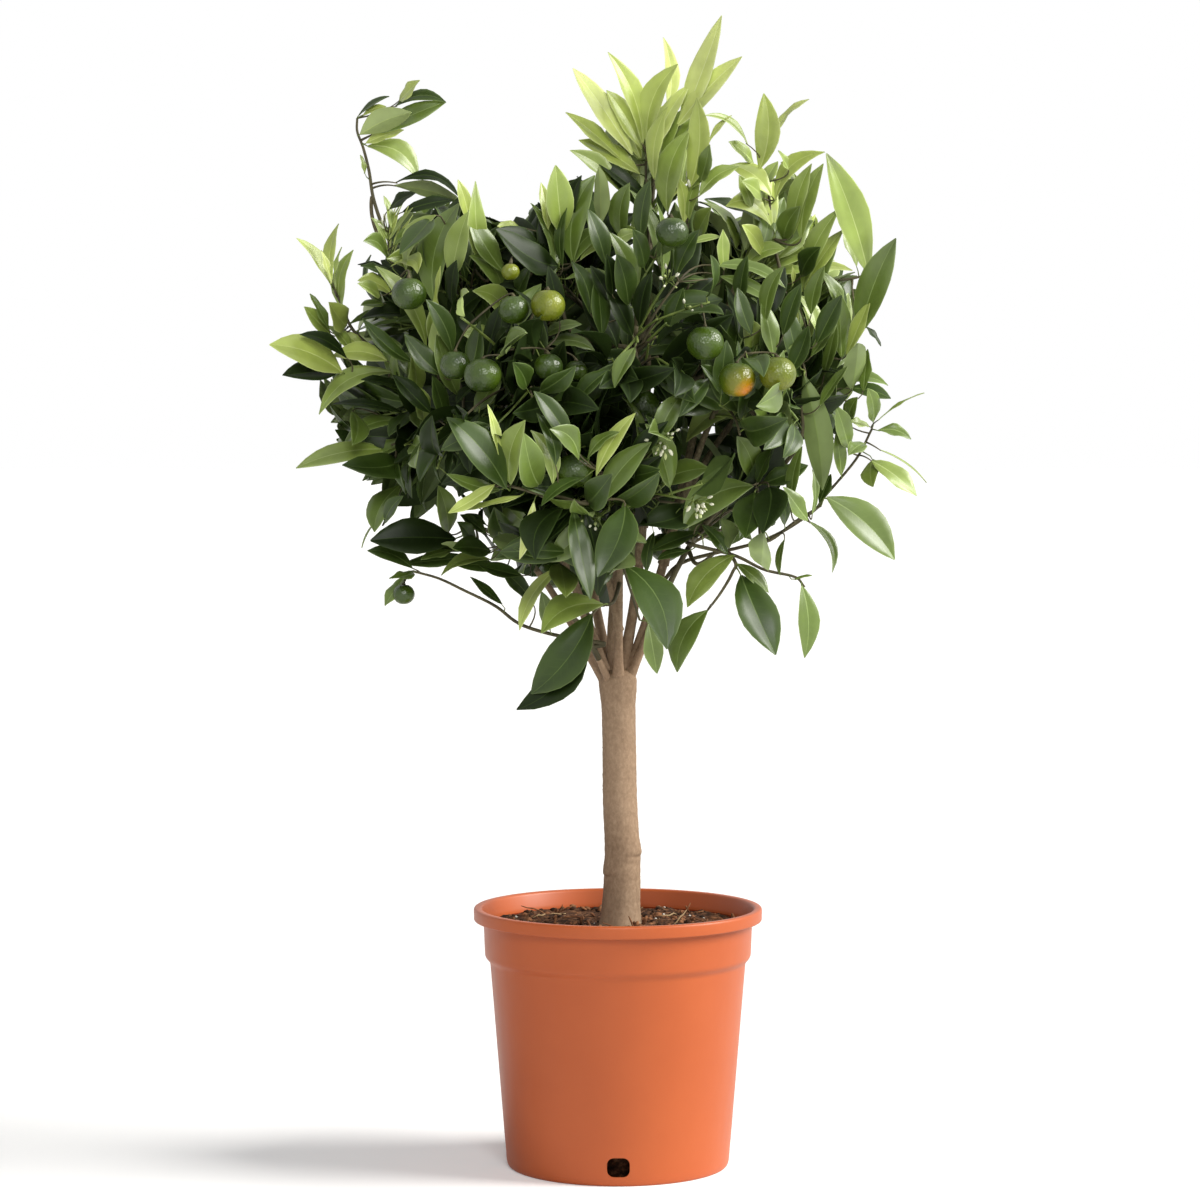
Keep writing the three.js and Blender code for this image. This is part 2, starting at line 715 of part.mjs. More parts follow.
// How many faces of a solid are so slight that they would be lost when its corners are rounded.
function slightFaces(solid) {
  const { numTri, triVerts, vertProperties } = solid.getMesh();
  const corner = (i) => new THREE.Vector3().fromArray(vertProperties, triVerts[i] * 3);
  const face = new THREE.Triangle();
  let count = 0;
  for (let i = 0; i < numTri; i++) {
    face.set(corner(i * 3), corner(i * 3 + 1), corner(i * 3 + 2));
    const sides = [face.a.distanceTo(face.b), face.b.distanceTo(face.c), face.c.distanceTo(face.a)];
    const height = (2 * face.getArea()) / Math.max(...sides);
    if (Math.min(...sides) < slight.edge || height < slight.height) count++;
  }
  return count;
}

// A mass in one body. Each leaf is joined in turn, its foot moved a little where the join would be slight.
function massSolid(mass, number) {
  const { stem, shoots, leaves, fruits } = growthOf(mass, number);
  const shootRadius = (share) => mix(twig.shootRadius, twig.shootTip, share);
  const stalks = fruits.map((fruit) => stalkOf(stem, shoots, fruit));
  const wood = [
    tubeGeometry(stem, (share) => mix(twig.stemRadius, twig.stemTip, share), twig.facets),
    ...shoots.map((shoot) => tubeGeometry(shoot, shootRadius, twig.facets)),
    ...fruits.map(fruitGeometry),
    ...stalks.map((stalk) => tubeGeometry(stalk, () => twig.stalkRadius, twig.facets)),
  ];
  let body = wasm.Manifold.union(wood.map(solidOf)).simplify(0.03);
  let allowed = slightFaces(body);
  for (const corners of leaves) {
    for (const shift of [0, 0.13, -0.17, 0.29, -0.37, 0.5]) {
      const foot = corners.foot.clone().lerp(corners.middle, shift / 20);
      const joined = body.add(solidOf(leafGeometry({ ...corners, foot }))).simplify(0.01);
      const count = slightFaces(joined);
      if (count > allowed) continue;
      body = joined;
      allowed = count;
      break;
    }
  }
  return largestBody(body);
}

// ---- Materials and assembly ----

const finish = (color, roughness) => new THREE.MeshStandardMaterial({ color, roughness, metalness: 0 });
const materials = {
  pot: finish("#c8683a", 0.42),
  compost: finish("#3b2a1e", 0.98),
  bark: finish("#8c7659", 0.85),
  bough: finish("#5f5a3c", 0.7),
  leaf: finish("#3f5d22", 0.4),
  youngLeaf: finish("#9cb44c", 0.45),
};

const tree = new THREE.Group();

function addPiece(name, solid, material) {
  const mesh = new THREE.Mesh(geometryOf(solid), material);
  mesh.name = name;
  tree.add(mesh);
}

addPiece("pot", potSolid(), materials.pot);
addPiece("compost", compostSolid(), materials.compost);
addPiece("trunk", trunkSolid(0), materials.bark);
for (const { mass, solid } of boughSolids()) {
  addPiece(`bough_${mass.name}`, solid, materials.bough);
}
masses.forEach((mass, number) => {
  const material = mass.young ? materials.youngLeaf : materials.leaf;
  addPiece(`foliage_${mass.name}`, massSolid(mass, number), material);
});

export default tree;
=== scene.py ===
import math

import bpy
import numpy as np
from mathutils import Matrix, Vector, noise


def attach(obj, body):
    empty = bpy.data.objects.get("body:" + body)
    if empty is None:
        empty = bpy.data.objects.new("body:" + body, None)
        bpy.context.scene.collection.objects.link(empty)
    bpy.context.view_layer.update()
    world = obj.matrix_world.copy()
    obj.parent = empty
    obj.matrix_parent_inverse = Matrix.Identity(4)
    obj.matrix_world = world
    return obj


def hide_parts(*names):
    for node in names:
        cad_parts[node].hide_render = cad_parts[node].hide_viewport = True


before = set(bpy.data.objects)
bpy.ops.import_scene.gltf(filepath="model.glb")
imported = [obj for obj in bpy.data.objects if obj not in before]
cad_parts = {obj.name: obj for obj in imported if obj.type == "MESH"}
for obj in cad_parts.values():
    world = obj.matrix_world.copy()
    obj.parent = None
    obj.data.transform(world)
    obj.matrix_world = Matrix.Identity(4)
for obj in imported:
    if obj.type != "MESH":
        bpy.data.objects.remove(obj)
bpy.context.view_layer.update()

mm = 0.001  # the tree is worked out in millimetres
fullTurn = 2 * math.pi
goldenAngle = math.pi * (3 - math.sqrt(5))
up = np.array([0.0, 0.0, 1.0])


# small helpers


def chance(*keys):
    # the same number from 0 to 1 every time for the same whole numbers
    whole = 2**32
    mixed = 2166136261
    for key in keys:
        mixed = ((mixed ^ (int(key) % whole)) * 16777619) % whole
        mixed ^= mixed >> 15
        mixed = (mixed * 2246822519) % whole
        mixed ^= mixed >> 13
    return mixed / whole


def blend(a, b, share):
    return a + (b - a) * share


def between(value, low, high):
    return min(high, max(low, value))


def unit(v):
    return v / max(np.linalg.norm(v), 1e-9)


def squareTo(v, axis):
    return unit(v - axis * np.dot(v, axis))


def anySideOf(axis):
    side = np.cross(axis, up)
    return unit(side) if np.linalg.norm(side) > 0.2 else squareTo(np.array([1.0, 0, 0]), axis)


def turned(v, axis, angle):
    c, s = math.cos(angle), math.sin(angle)
    return v * c + np.cross(axis, v) * s + axis * np.dot(axis, v) * (1 - c)


def quadraticAt(points, t):
    a, b, c = points
    n = 1 - t
    return a * n * n + b * 2 * n * t + c * t * t


def cubicAt(points, t):
    a, b, c, d = points
    n = 1 - t
    return a * n**3 + b * 3 * n * n * t + c * 3 * n * t * t + d * t**3


def cubicAlong(points, t):
    return unit(cubicAt(points, min(t + 0.001, 1)) - cubicAt(points, max(t - 0.001, 0)))


def smoothAt(points, share):
    # a smooth line through all the points
    last = len(points) - 1
    points = [2 * points[0] - points[1]] + list(points) + [2 * points[-1] - points[-2]]
    place = between(share, 0, 1) * last
    k = min(int(place), last - 1)
    t = place - k
    a, b, c, d = points[k : k + 4]
    return 0.5 * (2 * b + (c - a) * t + (2 * a - 5 * b + 4 * c - d) * t * t + (3 * b - a - 3 * c + d) * t**3)


# meshes: a pile gathers the corners and faces of one piece until its mesh is made


def newPile():
    return {"corners": [], "faces": [], "paint": [], "spread": [], "count": 0}


def addToPile(pile, corners, faces, paint=0, spread=None):
    start = pile["count"]
    pile["corners"].append(np.asarray(corners, float))
    pile["faces"].extend([tuple(i + start for i in face) for face in faces])
    pile["paint"].extend(paint if hasattr(paint, "__len__") else [paint] * len(faces))
    if spread is not None:
        pile["spread"].append(spread)
    pile["count"] += len(corners)


def stackFaces(rings, sides, flip=False, topFirst=False):
    # A closed stack of rings. Its two end corners come last, or the one first and the other last.
    start, foot = (1, 0) if topFirst else (0, rings * sides)
    tip = rings * sides + 1
    last = start + (rings - 1) * sides
    faces = []
    for row in range(start, last, sides):
        for k in range(sides):
            a, b = row + k, row + (k + 1) % sides
            faces.append((a, a + sides, b + sides, b))
    for k in range(sides):
        n = (k + 1) % sides
        faces += [(foot, start + k, start + n), (tip, last + n, last + k)]
    return [face[:1] + face[:0:-1] for face in faces] if flip else faces


def addTube(pile, line, radii, sides, paint=0):
    line = np.asarray(line, float)
    along = np.gradient(line, axis=0)
    along /= np.maximum(np.linalg.norm(along, axis=1, keepdims=True), 1e-9)
    side = anySideOf(unit(line[-1] - line[0]))
    turns = np.linspace(0, fullTurn, sides, endpoint=False)[:, None]
    rings = []
    for place, forward, radius in zip(line, along, radii):
        across = squareTo(side, forward)
        rings.append(place + radius * (np.cos(turns) * across + np.sin(turns) * np.cross(across, forward)))
    addToPile(pile, np.vstack(rings + [line[:1], line[-1:]]), stackFaces(len(line), sides), paint)


def addLathe(pile, line, facets, paint=0):
    # the line runs from the axis to the axis
    turns = np.linspace(0, fullTurn, facets, endpoint=False)
    rings = [np.column_stack((r * np.cos(turns), r * np.sin(turns), np.full(facets, z))) for r, z in line[1:-1]]
    corners = np.vstack(rings + [[[0, 0, line[0][1]]], [[0, 0, line[-1][1]]]])
    addToPile(pile, corners, stackFaces(len(rings), facets, flip=True), paint)


def addToScene(name, data):
    thing = bpy.data.objects.new(name, data)
    bpy.context.scene.collection.objects.link(thing)
    return thing


def newObject(name, corners, faces):
    mesh = bpy.data.meshes.new(name)
    mesh.from_pydata((np.asarray(corners, float) * mm).tolist(), [], faces)
    return addToScene(name, mesh)


def pileObject(name, pile):
    return newObject(name, np.vstack(pile["corners"]), pile["faces"])


def smoothAll(mesh):
    mesh.polygons.foreach_set("use_smooth", np.ones(len(mesh.polygons), dtype=bool))


def joinOrCut(piece, tool, operation):
    change = piece.modifiers.new("join", "BOOLEAN")
    change.object, change.operation, change.solver = tool, operation, "MANIFOLD"
    bpy.context.view_layer.update()
    made = bpy.data.meshes.new_from_object(piece.evaluated_get(bpy.context.evaluated_depsgraph_get()))
    piece.modifiers.clear()
    piece.data = made
    bpy.data.objects.remove(tool)


def dressPiece(piece, replaced=()):
    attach(piece, "root")
    if replaced:
        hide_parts(*replaced)
    print(piece.name, "has", sum(len(f.vertices) - 2 for f in piece.data.polygons), "triangles")
    return piece


def makePiece(name, pile, materials, replaced=(), sharp=None):
    piece = pileObject(name, pile)
    mesh = piece.data
    for material in materials:
        mesh.materials.append(material)
    mesh.polygons.foreach_set("material_index", np.array(pile["paint"], dtype=np.int32))
    smoothAll(mesh)
    if pile["spread"]:
        ends = np.empty(len(mesh.loops), dtype=np.int32)
        mesh.loops.foreach_get("vertex_index", ends)
        layer = mesh.uv_layers.new(name="blade")
        layer.data.foreach_set("uv", np.vstack(pile["spread"])[ends].astype(np.float32).ravel())
    if sharp:
        mesh.set_sharp_from_angle(angle=math.radians(sharp))
    return dressPiece(piece, replaced)


# materials


def fromScreen(red, green, blue):
    # a colour as a screen shows it, in the renderer's own numbers
    return tuple((c / 255 / 12.92) if c <= 10 else ((c / 255 + 0.055) / 1.055) ** 2.4 for c in (red, green, blue))


def setInputs(tree, node, inputs):
    # an input takes a plain value, or another node's output
    for socket, value in inputs.items():
        if isinstance(value, bpy.types.NodeSocket):
            tree.links.new(value, node.inputs[socket])
        else:
            node.inputs[socket].default_value = value


def addNode(tree, kind, inputs=None, **settings):
    node = tree.nodes.new("ShaderNode" + kind)
    for name, value in settings.items():
        setattr(node, name, value)
    setInputs(tree, node, inputs or {})
    return node


def mathNode(tree, operation, *values):
    return addNode(tree, "Math", dict(enumerate(values)), operation=operation).outputs[0]


def rangeNode(tree, value, fromMin=0, fromMax=1, toMin=0, toMax=1):
    limits = {"From Min": fromMin, "From Max": fromMax, "To Min": toMin, "To Max": toMax}
    return addNode(tree, "MapRange", {"Value": value, **limits}).outputs["Result"]


def mixNode(tree, factor, a, b):
    return addNode(tree, "Mix", {"Factor": factor, "A": a, "B": b}, data_type="RGBA").outputs["Result"]


def placeNode(tree, stretch=(1, 1, 1)):
    place = addNode(tree, "TexCoord").outputs["Object"]
    return addNode(tree, "Mapping", {"Scale": stretch, "Vector": place}).outputs["Vector"]


def noiseNode(tree, vector, scale, detail=3, rough=0.5):
    inputs = {"Vector": vector, "Scale": scale, "Detail": detail, "Roughness": rough}
    return addNode(tree, "TexNoise", inputs).outputs["Fac"]


def rampNode(tree, value, stops, screen=True):
    ramp = addNode(tree, "ValToRGB", {"Fac": value})
    while len(ramp.color_ramp.elements) < len(stops):
        ramp.color_ramp.elements.new(0.5)
    for element, (place, color) in zip(ramp.color_ramp.elements, stops):
        element.position = place
        element.color = (*(fromScreen(*color) if screen else color), 1)
    return ramp.outputs["Color"]


def bumpNode(tree, value, shader, distance, strength=1.0):
    bump = addNode(tree, "Bump", {"Height": value, "Distance": distance * mm, "Strength": strength})
    setInputs(tree, shader, {"Normal": bump.outputs["Normal"]})


def newMaterial(name, roughness, specular=0.5, coat=0.0, coatRoughness=0.1):
    material = bpy.data.materials.new(name)
    material.use_nodes = True
    tree = material.node_tree
    shader = tree.nodes["Principled BSDF"]
    setInputs(tree, shader, {"Roughness": roughness, "Specular IOR Level": specular})
    setInputs(tree, shader, {"Coat Weight": coat, "Coat Roughness": coatRoughness})
    return material, shader, tree


def mottled(name, stops, scale, roughness, grain=None, stretch=(1, 1, 1), detail=4, **gloss):
    # a surface whose colour drifts through the stops, with an optional fine relief: its scale and depth
    material, shader, tree = newMaterial(name, roughness, **gloss)
    vector = placeNode(tree, stretch)
    setInputs(tree, shader, {"Base Color": rampNode(tree, noiseNode(tree, vector, scale, detail), stops)})
    if grain:
        bumpNode(tree, noiseNode(tree, vector, grain[0], 3), shader, grain[1])
    return material


# camera, lights and floor

view = {
    "eye": (-12.4, -2500, 523),
    "target": (-12.4, 0, 393),
    "lens": 108.7,
    "sensor": 36,
    "furthest": 60,  # metres
}
studio = {
    "sky": (1, 1, 1, 1),
    "skyLight": 0.23,
    "skyGloss": 0.95,  # the sky as glossy surfaces mirror it
    "floorReach": 30000,
    "floorWhite": 0.9,
    "floorGlow": 0.18,
    "lightTarget": (0, 0, 455),
    "key": {"place": (2000, -240, 1750), "turn": 34, "power": 5.0, "color": (1.0, 0.98, 0.94)},
    "front": {"place": (200, -2600, 1700), "size": 1100, "power": 40, "color": (1.0, 1.0, 1.0)},
}


def aimAt(thing, place, target):
    thing.location = Vector(place) * mm
    thing.rotation_euler = (Vector(target) - Vector(place)).to_track_quat("-Z", "Y").to_euler()


def makeCamera():
    lens = bpy.data.cameras.new("camera")
    lens.lens = view["lens"]
    lens.sensor_width = view["sensor"]
    lens.clip_end = view["furthest"]
    camera = addToScene("camera", lens)
    aimAt(camera, view["eye"], view["target"])
    bpy.context.scene.camera = camera


def makeLight(name):
    # a sun has a turn, the width of its disc in degrees, and a panel has a size
    settings = studio[name]
    sun = "turn" in settings
    lamp = bpy.data.lights.new(name, "SUN" if sun else "AREA")
    if sun:
        lamp.angle = math.radians(settings["turn"])
    else:
        lamp.size = settings["size"] * mm
    lamp.energy = settings["power"]
    lamp.color = settings["color"]
    aimAt(addToScene(name, lamp), settings["place"], studio["lightTarget"])


def makeSky():
    world = bpy.data.worlds.new("sky")
    bpy.context.scene.world = world
    world.use_nodes = True
    tree = world.node_tree
    tree.nodes.clear()
    rays = addNode(tree, "LightPath").outputs
    strength = rangeNode(tree, rays["Is Glossy Ray"], toMin=studio["skyLight"], toMax=studio["skyGloss"])
    lit = addNode(tree, "Background", {"Color": studio["sky"], "Strength": strength}).outputs[0]
    seen = addNode(tree, "Background", {"Color": studio["sky"]}).outputs[0]
    picked = addNode(tree, "MixShader", {"Fac": rays["Is Camera Ray"], 1: lit, 2: seen}).outputs[0]
    addNode(tree, "OutputWorld", {"Surface": picked})


def makeFloor():
    wide, white = studio["floorReach"], studio["floorWhite"]
    floor = newObject("floor", [(-wide, -wide, 0), (wide, -wide, 0), (wide, wide, 0), (-wide, wide, 0)], [(0, 1, 2, 3)])
    material, shader, tree = newMaterial("white floor", 0.9, specular=0.1)
    seen = addNode(tree, "LightPath").outputs["Is Camera Ray"]
    setInputs(tree, shader, {"Base Color": (white, white, white, 1), "Emission Color": (1, 1, 1, 1)})
    setInputs(tree, shader, {"Emission Strength": mathNode(tree, "MULTIPLY", seen, studio["floorGlow"])})
    floor.data.materials.append(material)


makeCamera()
makeSky()
makeFloor()
makeLight("key")
makeLight("front")
bpy.context.scene.view_settings.view_transform = "Standard"
print("camera, lights and floor are in place")


# pot

potSettings = {
    "height": 180,
    "rimRadius": 100,
    "lipHeight": 9,
    "lipWidth": 5.6,
    "bandRadius": 93.2,
    "bandHeight": 25,
    "bandDraft": 1,
    "step": 3.6,
    "stepHeight": 4,
    "footRadius": 77,
    "footEdge": 3,
    "wall": 1.6,
    "floor": 2.4,
    "soft": 1.5,  # how far an edge is rounded
    "facets": 180,
    "sharp": 40,
    "drain": {"count": 4, "width": 15.4, "height": 13.4, "corner": 4.6, "bottom": 6.6},
}
potFinishes = [
    {
        "name": "terracotta plastic",
        "colors": [(0.3, (168, 79, 35)), (0.7, (178, 87, 41))],
        "rough": 0.4,
        "gloss": 0.32,
    },
    # the inside is darker and redder than the outside: painted shade for the inside of the pot
    {
        "name": "terracotta plastic inside painted shade",
        "colors": [(0.3, (122, 46, 18)), (0.7, (133, 52, 21))],
        "rough": 0.8,
        "gloss": 0.1,
    },
]


def roundedProfile(points, soft):
    # points are (radius, height, how round), and each corner becomes a short arc
    line = []
    for i, (radius, height, roundness) in enumerate(points):
        here = np.array([radius, height], float)
        if i in (0, len(points) - 1) or roundness == 0:
            line.append(here)
            continue
        before, after = (np.array(points[i + step][:2], float) for step in (-1, 1))
        reach = min(soft * roundness, 0.45 * np.linalg.norm(before - here), 0.45 * np.linalg.norm(after - here))
        a, b = here + unit(before - here) * reach, here + unit(after - here) * reach
        line.extend(quadraticAt((a, here, b), t) for t in (0, 0.25, 0.5, 0.75, 1))
    return line


def potHeights():
    # where the lip, the band and the wall end
    p = potSettings
    lipFoot = p["height"] - p["lipHeight"]
    bandFoot = lipFoot - p["bandHeight"]
    return lipFoot, bandFoot, bandFoot - p["stepHeight"]


def insideRadius(height):
    p = potSettings
    _, bandFoot, wallTop = potHeights()
    if height > bandFoot:
        return p["bandRadius"] - p["bandDraft"] - p["wall"]
    wallTopRadius = p["bandRadius"] - p["bandDraft"] - p["step"]
    return blend(p["footRadius"], wallTopRadius, between(height / wallTop, 0, 1)) - p["wall"]


def potProfile():
    p = potSettings
    lipFoot, bandFoot, wallTop = potHeights()
    band, foot, inner = p["bandRadius"], p["footRadius"], p["rimRadius"] - p["lipWidth"]
    return [
        (0, 0, 0),
        (foot - p["footEdge"] * 2, 0, 0.3),
        (foot - p["footEdge"] * 0.3, 0, 2.0),
        (foot + 0.4, 3.5, 2.0),
        (band - p["bandDraft"] - p["step"], wallTop, 1.2),
        (band - p["bandDraft"], bandFoot, 1.4),
        (band, lipFoot, 0.4),
        (p["rimRadius"] - 0.2, lipFoot + 0.2, 0.7),
        (p["rimRadius"], p["height"], 1.3),
        (inner, p["height"], 1.3),
        (band - p["wall"], lipFoot - 2, 1.0),
        (band - p["wall"] - 0.4, bandFoot + 9, 0.4),
        (insideRadius(bandFoot + 1), bandFoot + 8.4, 0.4),
        (insideRadius(bandFoot + 1), bandFoot, 0.8),
        (insideRadius(wallTop), wallTop, 0.8),
        (insideRadius(p["floor"]), p["floor"], 0.4),
        (0, p["floor"], 0),
    ]


def drainCutter():
    d = potSettings["drain"]
    outline = []
    for sideways, upwards, start in ((1, 1, 0), (-1, 1, 90), (-1, -1, 180), (1, -1, 270)):
        for step in range(7):
            turn = math.radians(start + step * 15)
            x = sideways * (d["width"] / 2 - d["corner"]) + d["corner"] * math.cos(turn)
            z = d["bottom"] + d["height"] / 2 + upwards * (d["height"] / 2 - d["corner"]) + d["corner"] * math.sin(turn)
            outline.append((x, z))
    pile = newPile()
    n = len(outline)
    near, far = potSettings["footRadius"] * 0.7, potSettings["footRadius"] * 1.15
    for k in range(d["count"]):
        turn = k * fullTurn / d["count"]
        c, s = math.cos(turn), math.sin(turn)
        corners = [(x * c + y * s, x * s - y * c, z) for y in (far, near) for x, z in outline]
        faces = [tuple(range(n)), tuple(reversed(range(n, 2 * n)))]
        faces += [(i + n, (i + 1) % n + n, (i + 1) % n, i) for i in range(n)]
        addToPile(pile, corners, faces)
    return pileObject("cutter", pile)


def potMaterial(finish):
    rough, gloss = finish["rough"], finish["gloss"]
    material, shader, tree = newMaterial(finish["name"], rough, specular=gloss, coat=gloss * 0.3, coatRoughness=0.34)
    vector = placeNode(tree)
    color = rampNode(tree, noiseNode(tree, vector, 9, 5, 0.6), finish["colors"])
    scuffs = noiseNode(tree, placeNode(tree, (1, 1, 0.25)), 60, 6, 0.65)
    worn = rangeNode(tree, scuffs, toMin=rough - 0.06, toMax=rough + 0.14)
    setInputs(tree, shader, {"Base Color": color, "Roughness": worn})
    bumpNode(tree, noiseNode(tree, vector, 700, 2), shader, 0.05, 0.35)
    return material


def makePot():
    p = potSettings
    line = roundedProfile(potProfile(), p["soft"])
    paint = []
    for (r0, z0), (r1, z1) in zip(line[1:-2], line[2:-1]):
        radius, height = (r0 + r1) / 2, (z0 + z1) / 2
        # faces of the inside wall and floor take the darker inside material, which paints the shade inside the pot
        inside = height > p["floor"] * 0.8 and radius < insideRadius(height) + p["wall"] * 0.6
        paint += [int(inside)] * p["facets"]
    paint += [0, 1] * p["facets"]
    pile = newPile()
    addLathe(pile, line, p["facets"], paint)
    pot = makePiece("potShell", pile, [potMaterial(finish) for finish in potFinishes], ["pot"])
    joinOrCut(pot, drainCutter(), "DIFFERENCE")
    pot.data.set_sharp_from_angle(angle=math.radians(p["sharp"]))


makePot()
print("the pot is made")


# compost

compostSettings = {
    "depth": 13,
    "gap": 0.3,
    "drawnIn": 14,  # how far it stands back behind the drain holes
    "drawnInTo": 22,
    "belowBand": 25,
    "rings": 46,
    "facets": 144,
    "relief": 4.2,
    "fine": 1.5,
    "clear": 17,  # what is kept free round the trunk
    "clods": 460,
    "clodSize": (0.9, 3.6),
    "lump": (-47, -38, 5.5),  # a larger clod by the rim: place and size
    "grit": 26,
    "gritSize": (0.6, 1.3),
    "straws": 34,
    "strawLength": (6, 20),
    "strawRadius": (0.3, 0.75),
    "chips": 90,
    "chipLength": (2.5, 7),
    "chipRadius": (0.8, 1.6),
    "colors": [(0.34, (36, 23, 15)), (0.5, (76, 50, 34)), (0.68, (122, 86, 60))],
}
# name: dark, light, scale of its mottling, roughness and gloss
bitFinishes = {
    "clod": ((30, 19, 13), (76, 51, 35), 300, 0.95, 0.15),
    "bark chip": ((88, 54, 34), (142, 98, 66), 220, 0.9, 0.2),
    "straw": ((128, 102, 70), (176, 150, 112), 120, 0.7, 0.3),
    "grit": ((168, 160, 148), (214, 208, 198), 400, 0.9, 0.2),
}
clodPaint, chipPaint, strawPaint, gritPaint = range(4)
compostTop = potSettings["height"] - compostSettings["depth"]


def compostHeight(x, y):
    c = compostSettings
    radius = math.hypot(x, y)
    coarse = noise.noise(Vector((x * 0.045, y * 0.045, 3.1))) * c["relief"]
    fine = noise.noise(Vector((x * 0.22, y * 0.22, 7.7))) * c["fine"]
    finest = noise.noise(Vector((x * 0.6, y * 0.6, 1.7))) * c["fine"] * 0.5
    calm = between((radius - 13) / 14, 0, 1) * between((insideRadius(compostTop) - radius) / 6, 0.2, 1)
    return compostTop + (coarse + fine + finest) * calm + 0.4


def makeCompost():
    c = compostSettings
    outer = insideRadius(compostTop) - c["gap"]
    foot, drawnTo = potSettings["floor"] + c["gap"], c["drawnInTo"]
    line = [(0, foot), (insideRadius(foot) - c["drawnIn"], foot), (insideRadius(drawnTo) - c["drawnIn"], drawnTo)]
    step = compostTop - c["belowBand"]
    line += [(insideRadius(z) - c["gap"], z) for z in (drawnTo + 6, 60, 100, step - 5)]
    line += [(outer, step + 6), (outer, compostTop - 1)]
    line += [(outer * (1 - (i + 1) / (c["rings"] + 1)), compostTop) for i in range(c["rings"])] + [(0, compostTop)]
    pile = newPile()
    addLathe(pile, line, c["facets"])
    for corner in pile["corners"][0]:
        if corner[2] > compostTop - 0.5:
            corner[2] = compostHeight(corner[0], corner[1])
    material = mottled("dark compost", c["colors"], 260, 0.95, (900, 0.5), specular=0.15, detail=6)
    makePiece("compostHeap", pile, [material], ["compost"])


def addLump(pile, place, size, seed, paint):
    # a knobbly grain: a small flat ball of three rings with every corner moved
    turns, flat = 7, 0.7
    corners = [place + up * size * flat]
    for ring, (high, wide) in enumerate(((0.55, 0.8), (-0.1, 1.05), (-0.65, 0.7))):
        for k in range(turns):
            turn = fullTurn * (k + 0.5 * ring) / turns
            reach = size * wide * blend(0.7, 1.25, chance(seed, ring, k))
            lift = size * flat * (high + 0.3 * (chance(seed, ring, k, 1) - 0.5))
            corners.append(place + np.array([math.cos(turn) * reach, math.sin(turn) * reach, lift]))
    corners.append(place - up * size * flat)
    addToPile(pile, corners, stackFaces(3, turns, topFirst=True), paint)


def onCompost(x, y):
    return np.array([x, y, compostHeight(x, y)])


def scatterPlace(seed, nearest, furthest):
    radius = math.sqrt(blend(nearest**2, furthest**2, chance(seed, 1)))
    turn = fullTurn * chance(seed, 2)
    return onCompost(radius * math.cos(turn), radius * math.sin(turn))


def addStraw(pile, i, furthest):
    c = compostSettings
    place = scatterPlace(2000 + i, 26, furthest - 12)
    length = blend(*c["strawLength"], chance(i, 6) ** 1.6)
    turn = fullTurn * chance(i, 7)
    aim = np.array([math.cos(turn), math.sin(turn), 0.0])
    if np.linalg.norm((place + aim * length)[:2]) > furthest:
        aim = -aim
    bend = np.cross(aim, up) * length * 0.12 * (chance(i, 8) - 0.5)
    line = []
    for t in (0, 0.25, 0.5, 0.75, 1):
        point = place + aim * length * t + bend * 4 * t * (1 - t)
        point[2] = compostHeight(point[0], point[1]) + 0.9 + 7 * t * (chance(i, 9) > 0.7)
        line.append(point)
    thick = blend(*c["strawRadius"], chance(i, 10))
    radii = [thick * share for share in (0.7, 1, 1, 0.9, 0.5)]
    addTube(pile, line, radii, 5, strawPaint if chance(i, 11) < 0.4 else chipPaint)


def addChip(pile, i, furthest):
    # a flat bit of bark, sometimes on edge
    c = compostSettings
    place = scatterPlace(4000 + i, c["clear"] + 1, furthest - 5)
    turn, tilt = fullTurn * chance(i, 12), 1.3 * chance(i, 13) ** 1.5
    along = np.array([math.cos(turn) * math.cos(tilt), math.sin(turn) * math.cos(tilt), math.sin(tilt)])
    size, thick = blend(*c["chipLength"], chance(i, 14) ** 1.5), blend(*c["chipRadius"], chance(i, 15))
    middle = place + up * (1 + size * 0.4 * math.sin(tilt))
    ends = [middle + along * size * s for s in (-0.5, 0.1, 0.5)]
    addTube(pile, ends, [thick * 0.8, thick * 1.2, thick * 0.5], 4, chipPaint)


def makeCompostBits():
    c = compostSettings
    pile = newPile()
    furthest = insideRadius(compostTop) - 4
    for i in range(c["clods"]):
        size = blend(*c["clodSize"], chance(i, 3) ** 2.4)
        place = scatterPlace(1000 + i, c["clear"], furthest - size)
        addLump(pile, place, size, i, clodPaint if chance(i, 4) < 0.7 else chipPaint)
    x, y, size = c["lump"]
    addLump(pile, onCompost(x, y) + up * size * 0.4, size, 77, clodPaint)
    for i in range(c["grit"]):
        size = blend(*c["gritSize"], chance(i, 5))
        addLump(pile, scatterPlace(3000 + i, c["clear"], furthest), size, i + 500, gritPaint)
    for i in range(c["straws"]):
        addStraw(pile, i, furthest)
    for i in range(c["chips"]):
        addChip(pile, i, furthest)
    materials = [
        mottled(name, [(0.35, dark), (0.7, light)], scale, rough, specular=gloss)
        for name, (dark, light, scale, rough, gloss) in bitFinishes.items()
    ]
    makePiece("compostBits", pile, materials)


makeCompost()
makeCompostBits()
print("the compost is made")


# the tree's plan: trunk, limbs and the spaces that the foliage fills

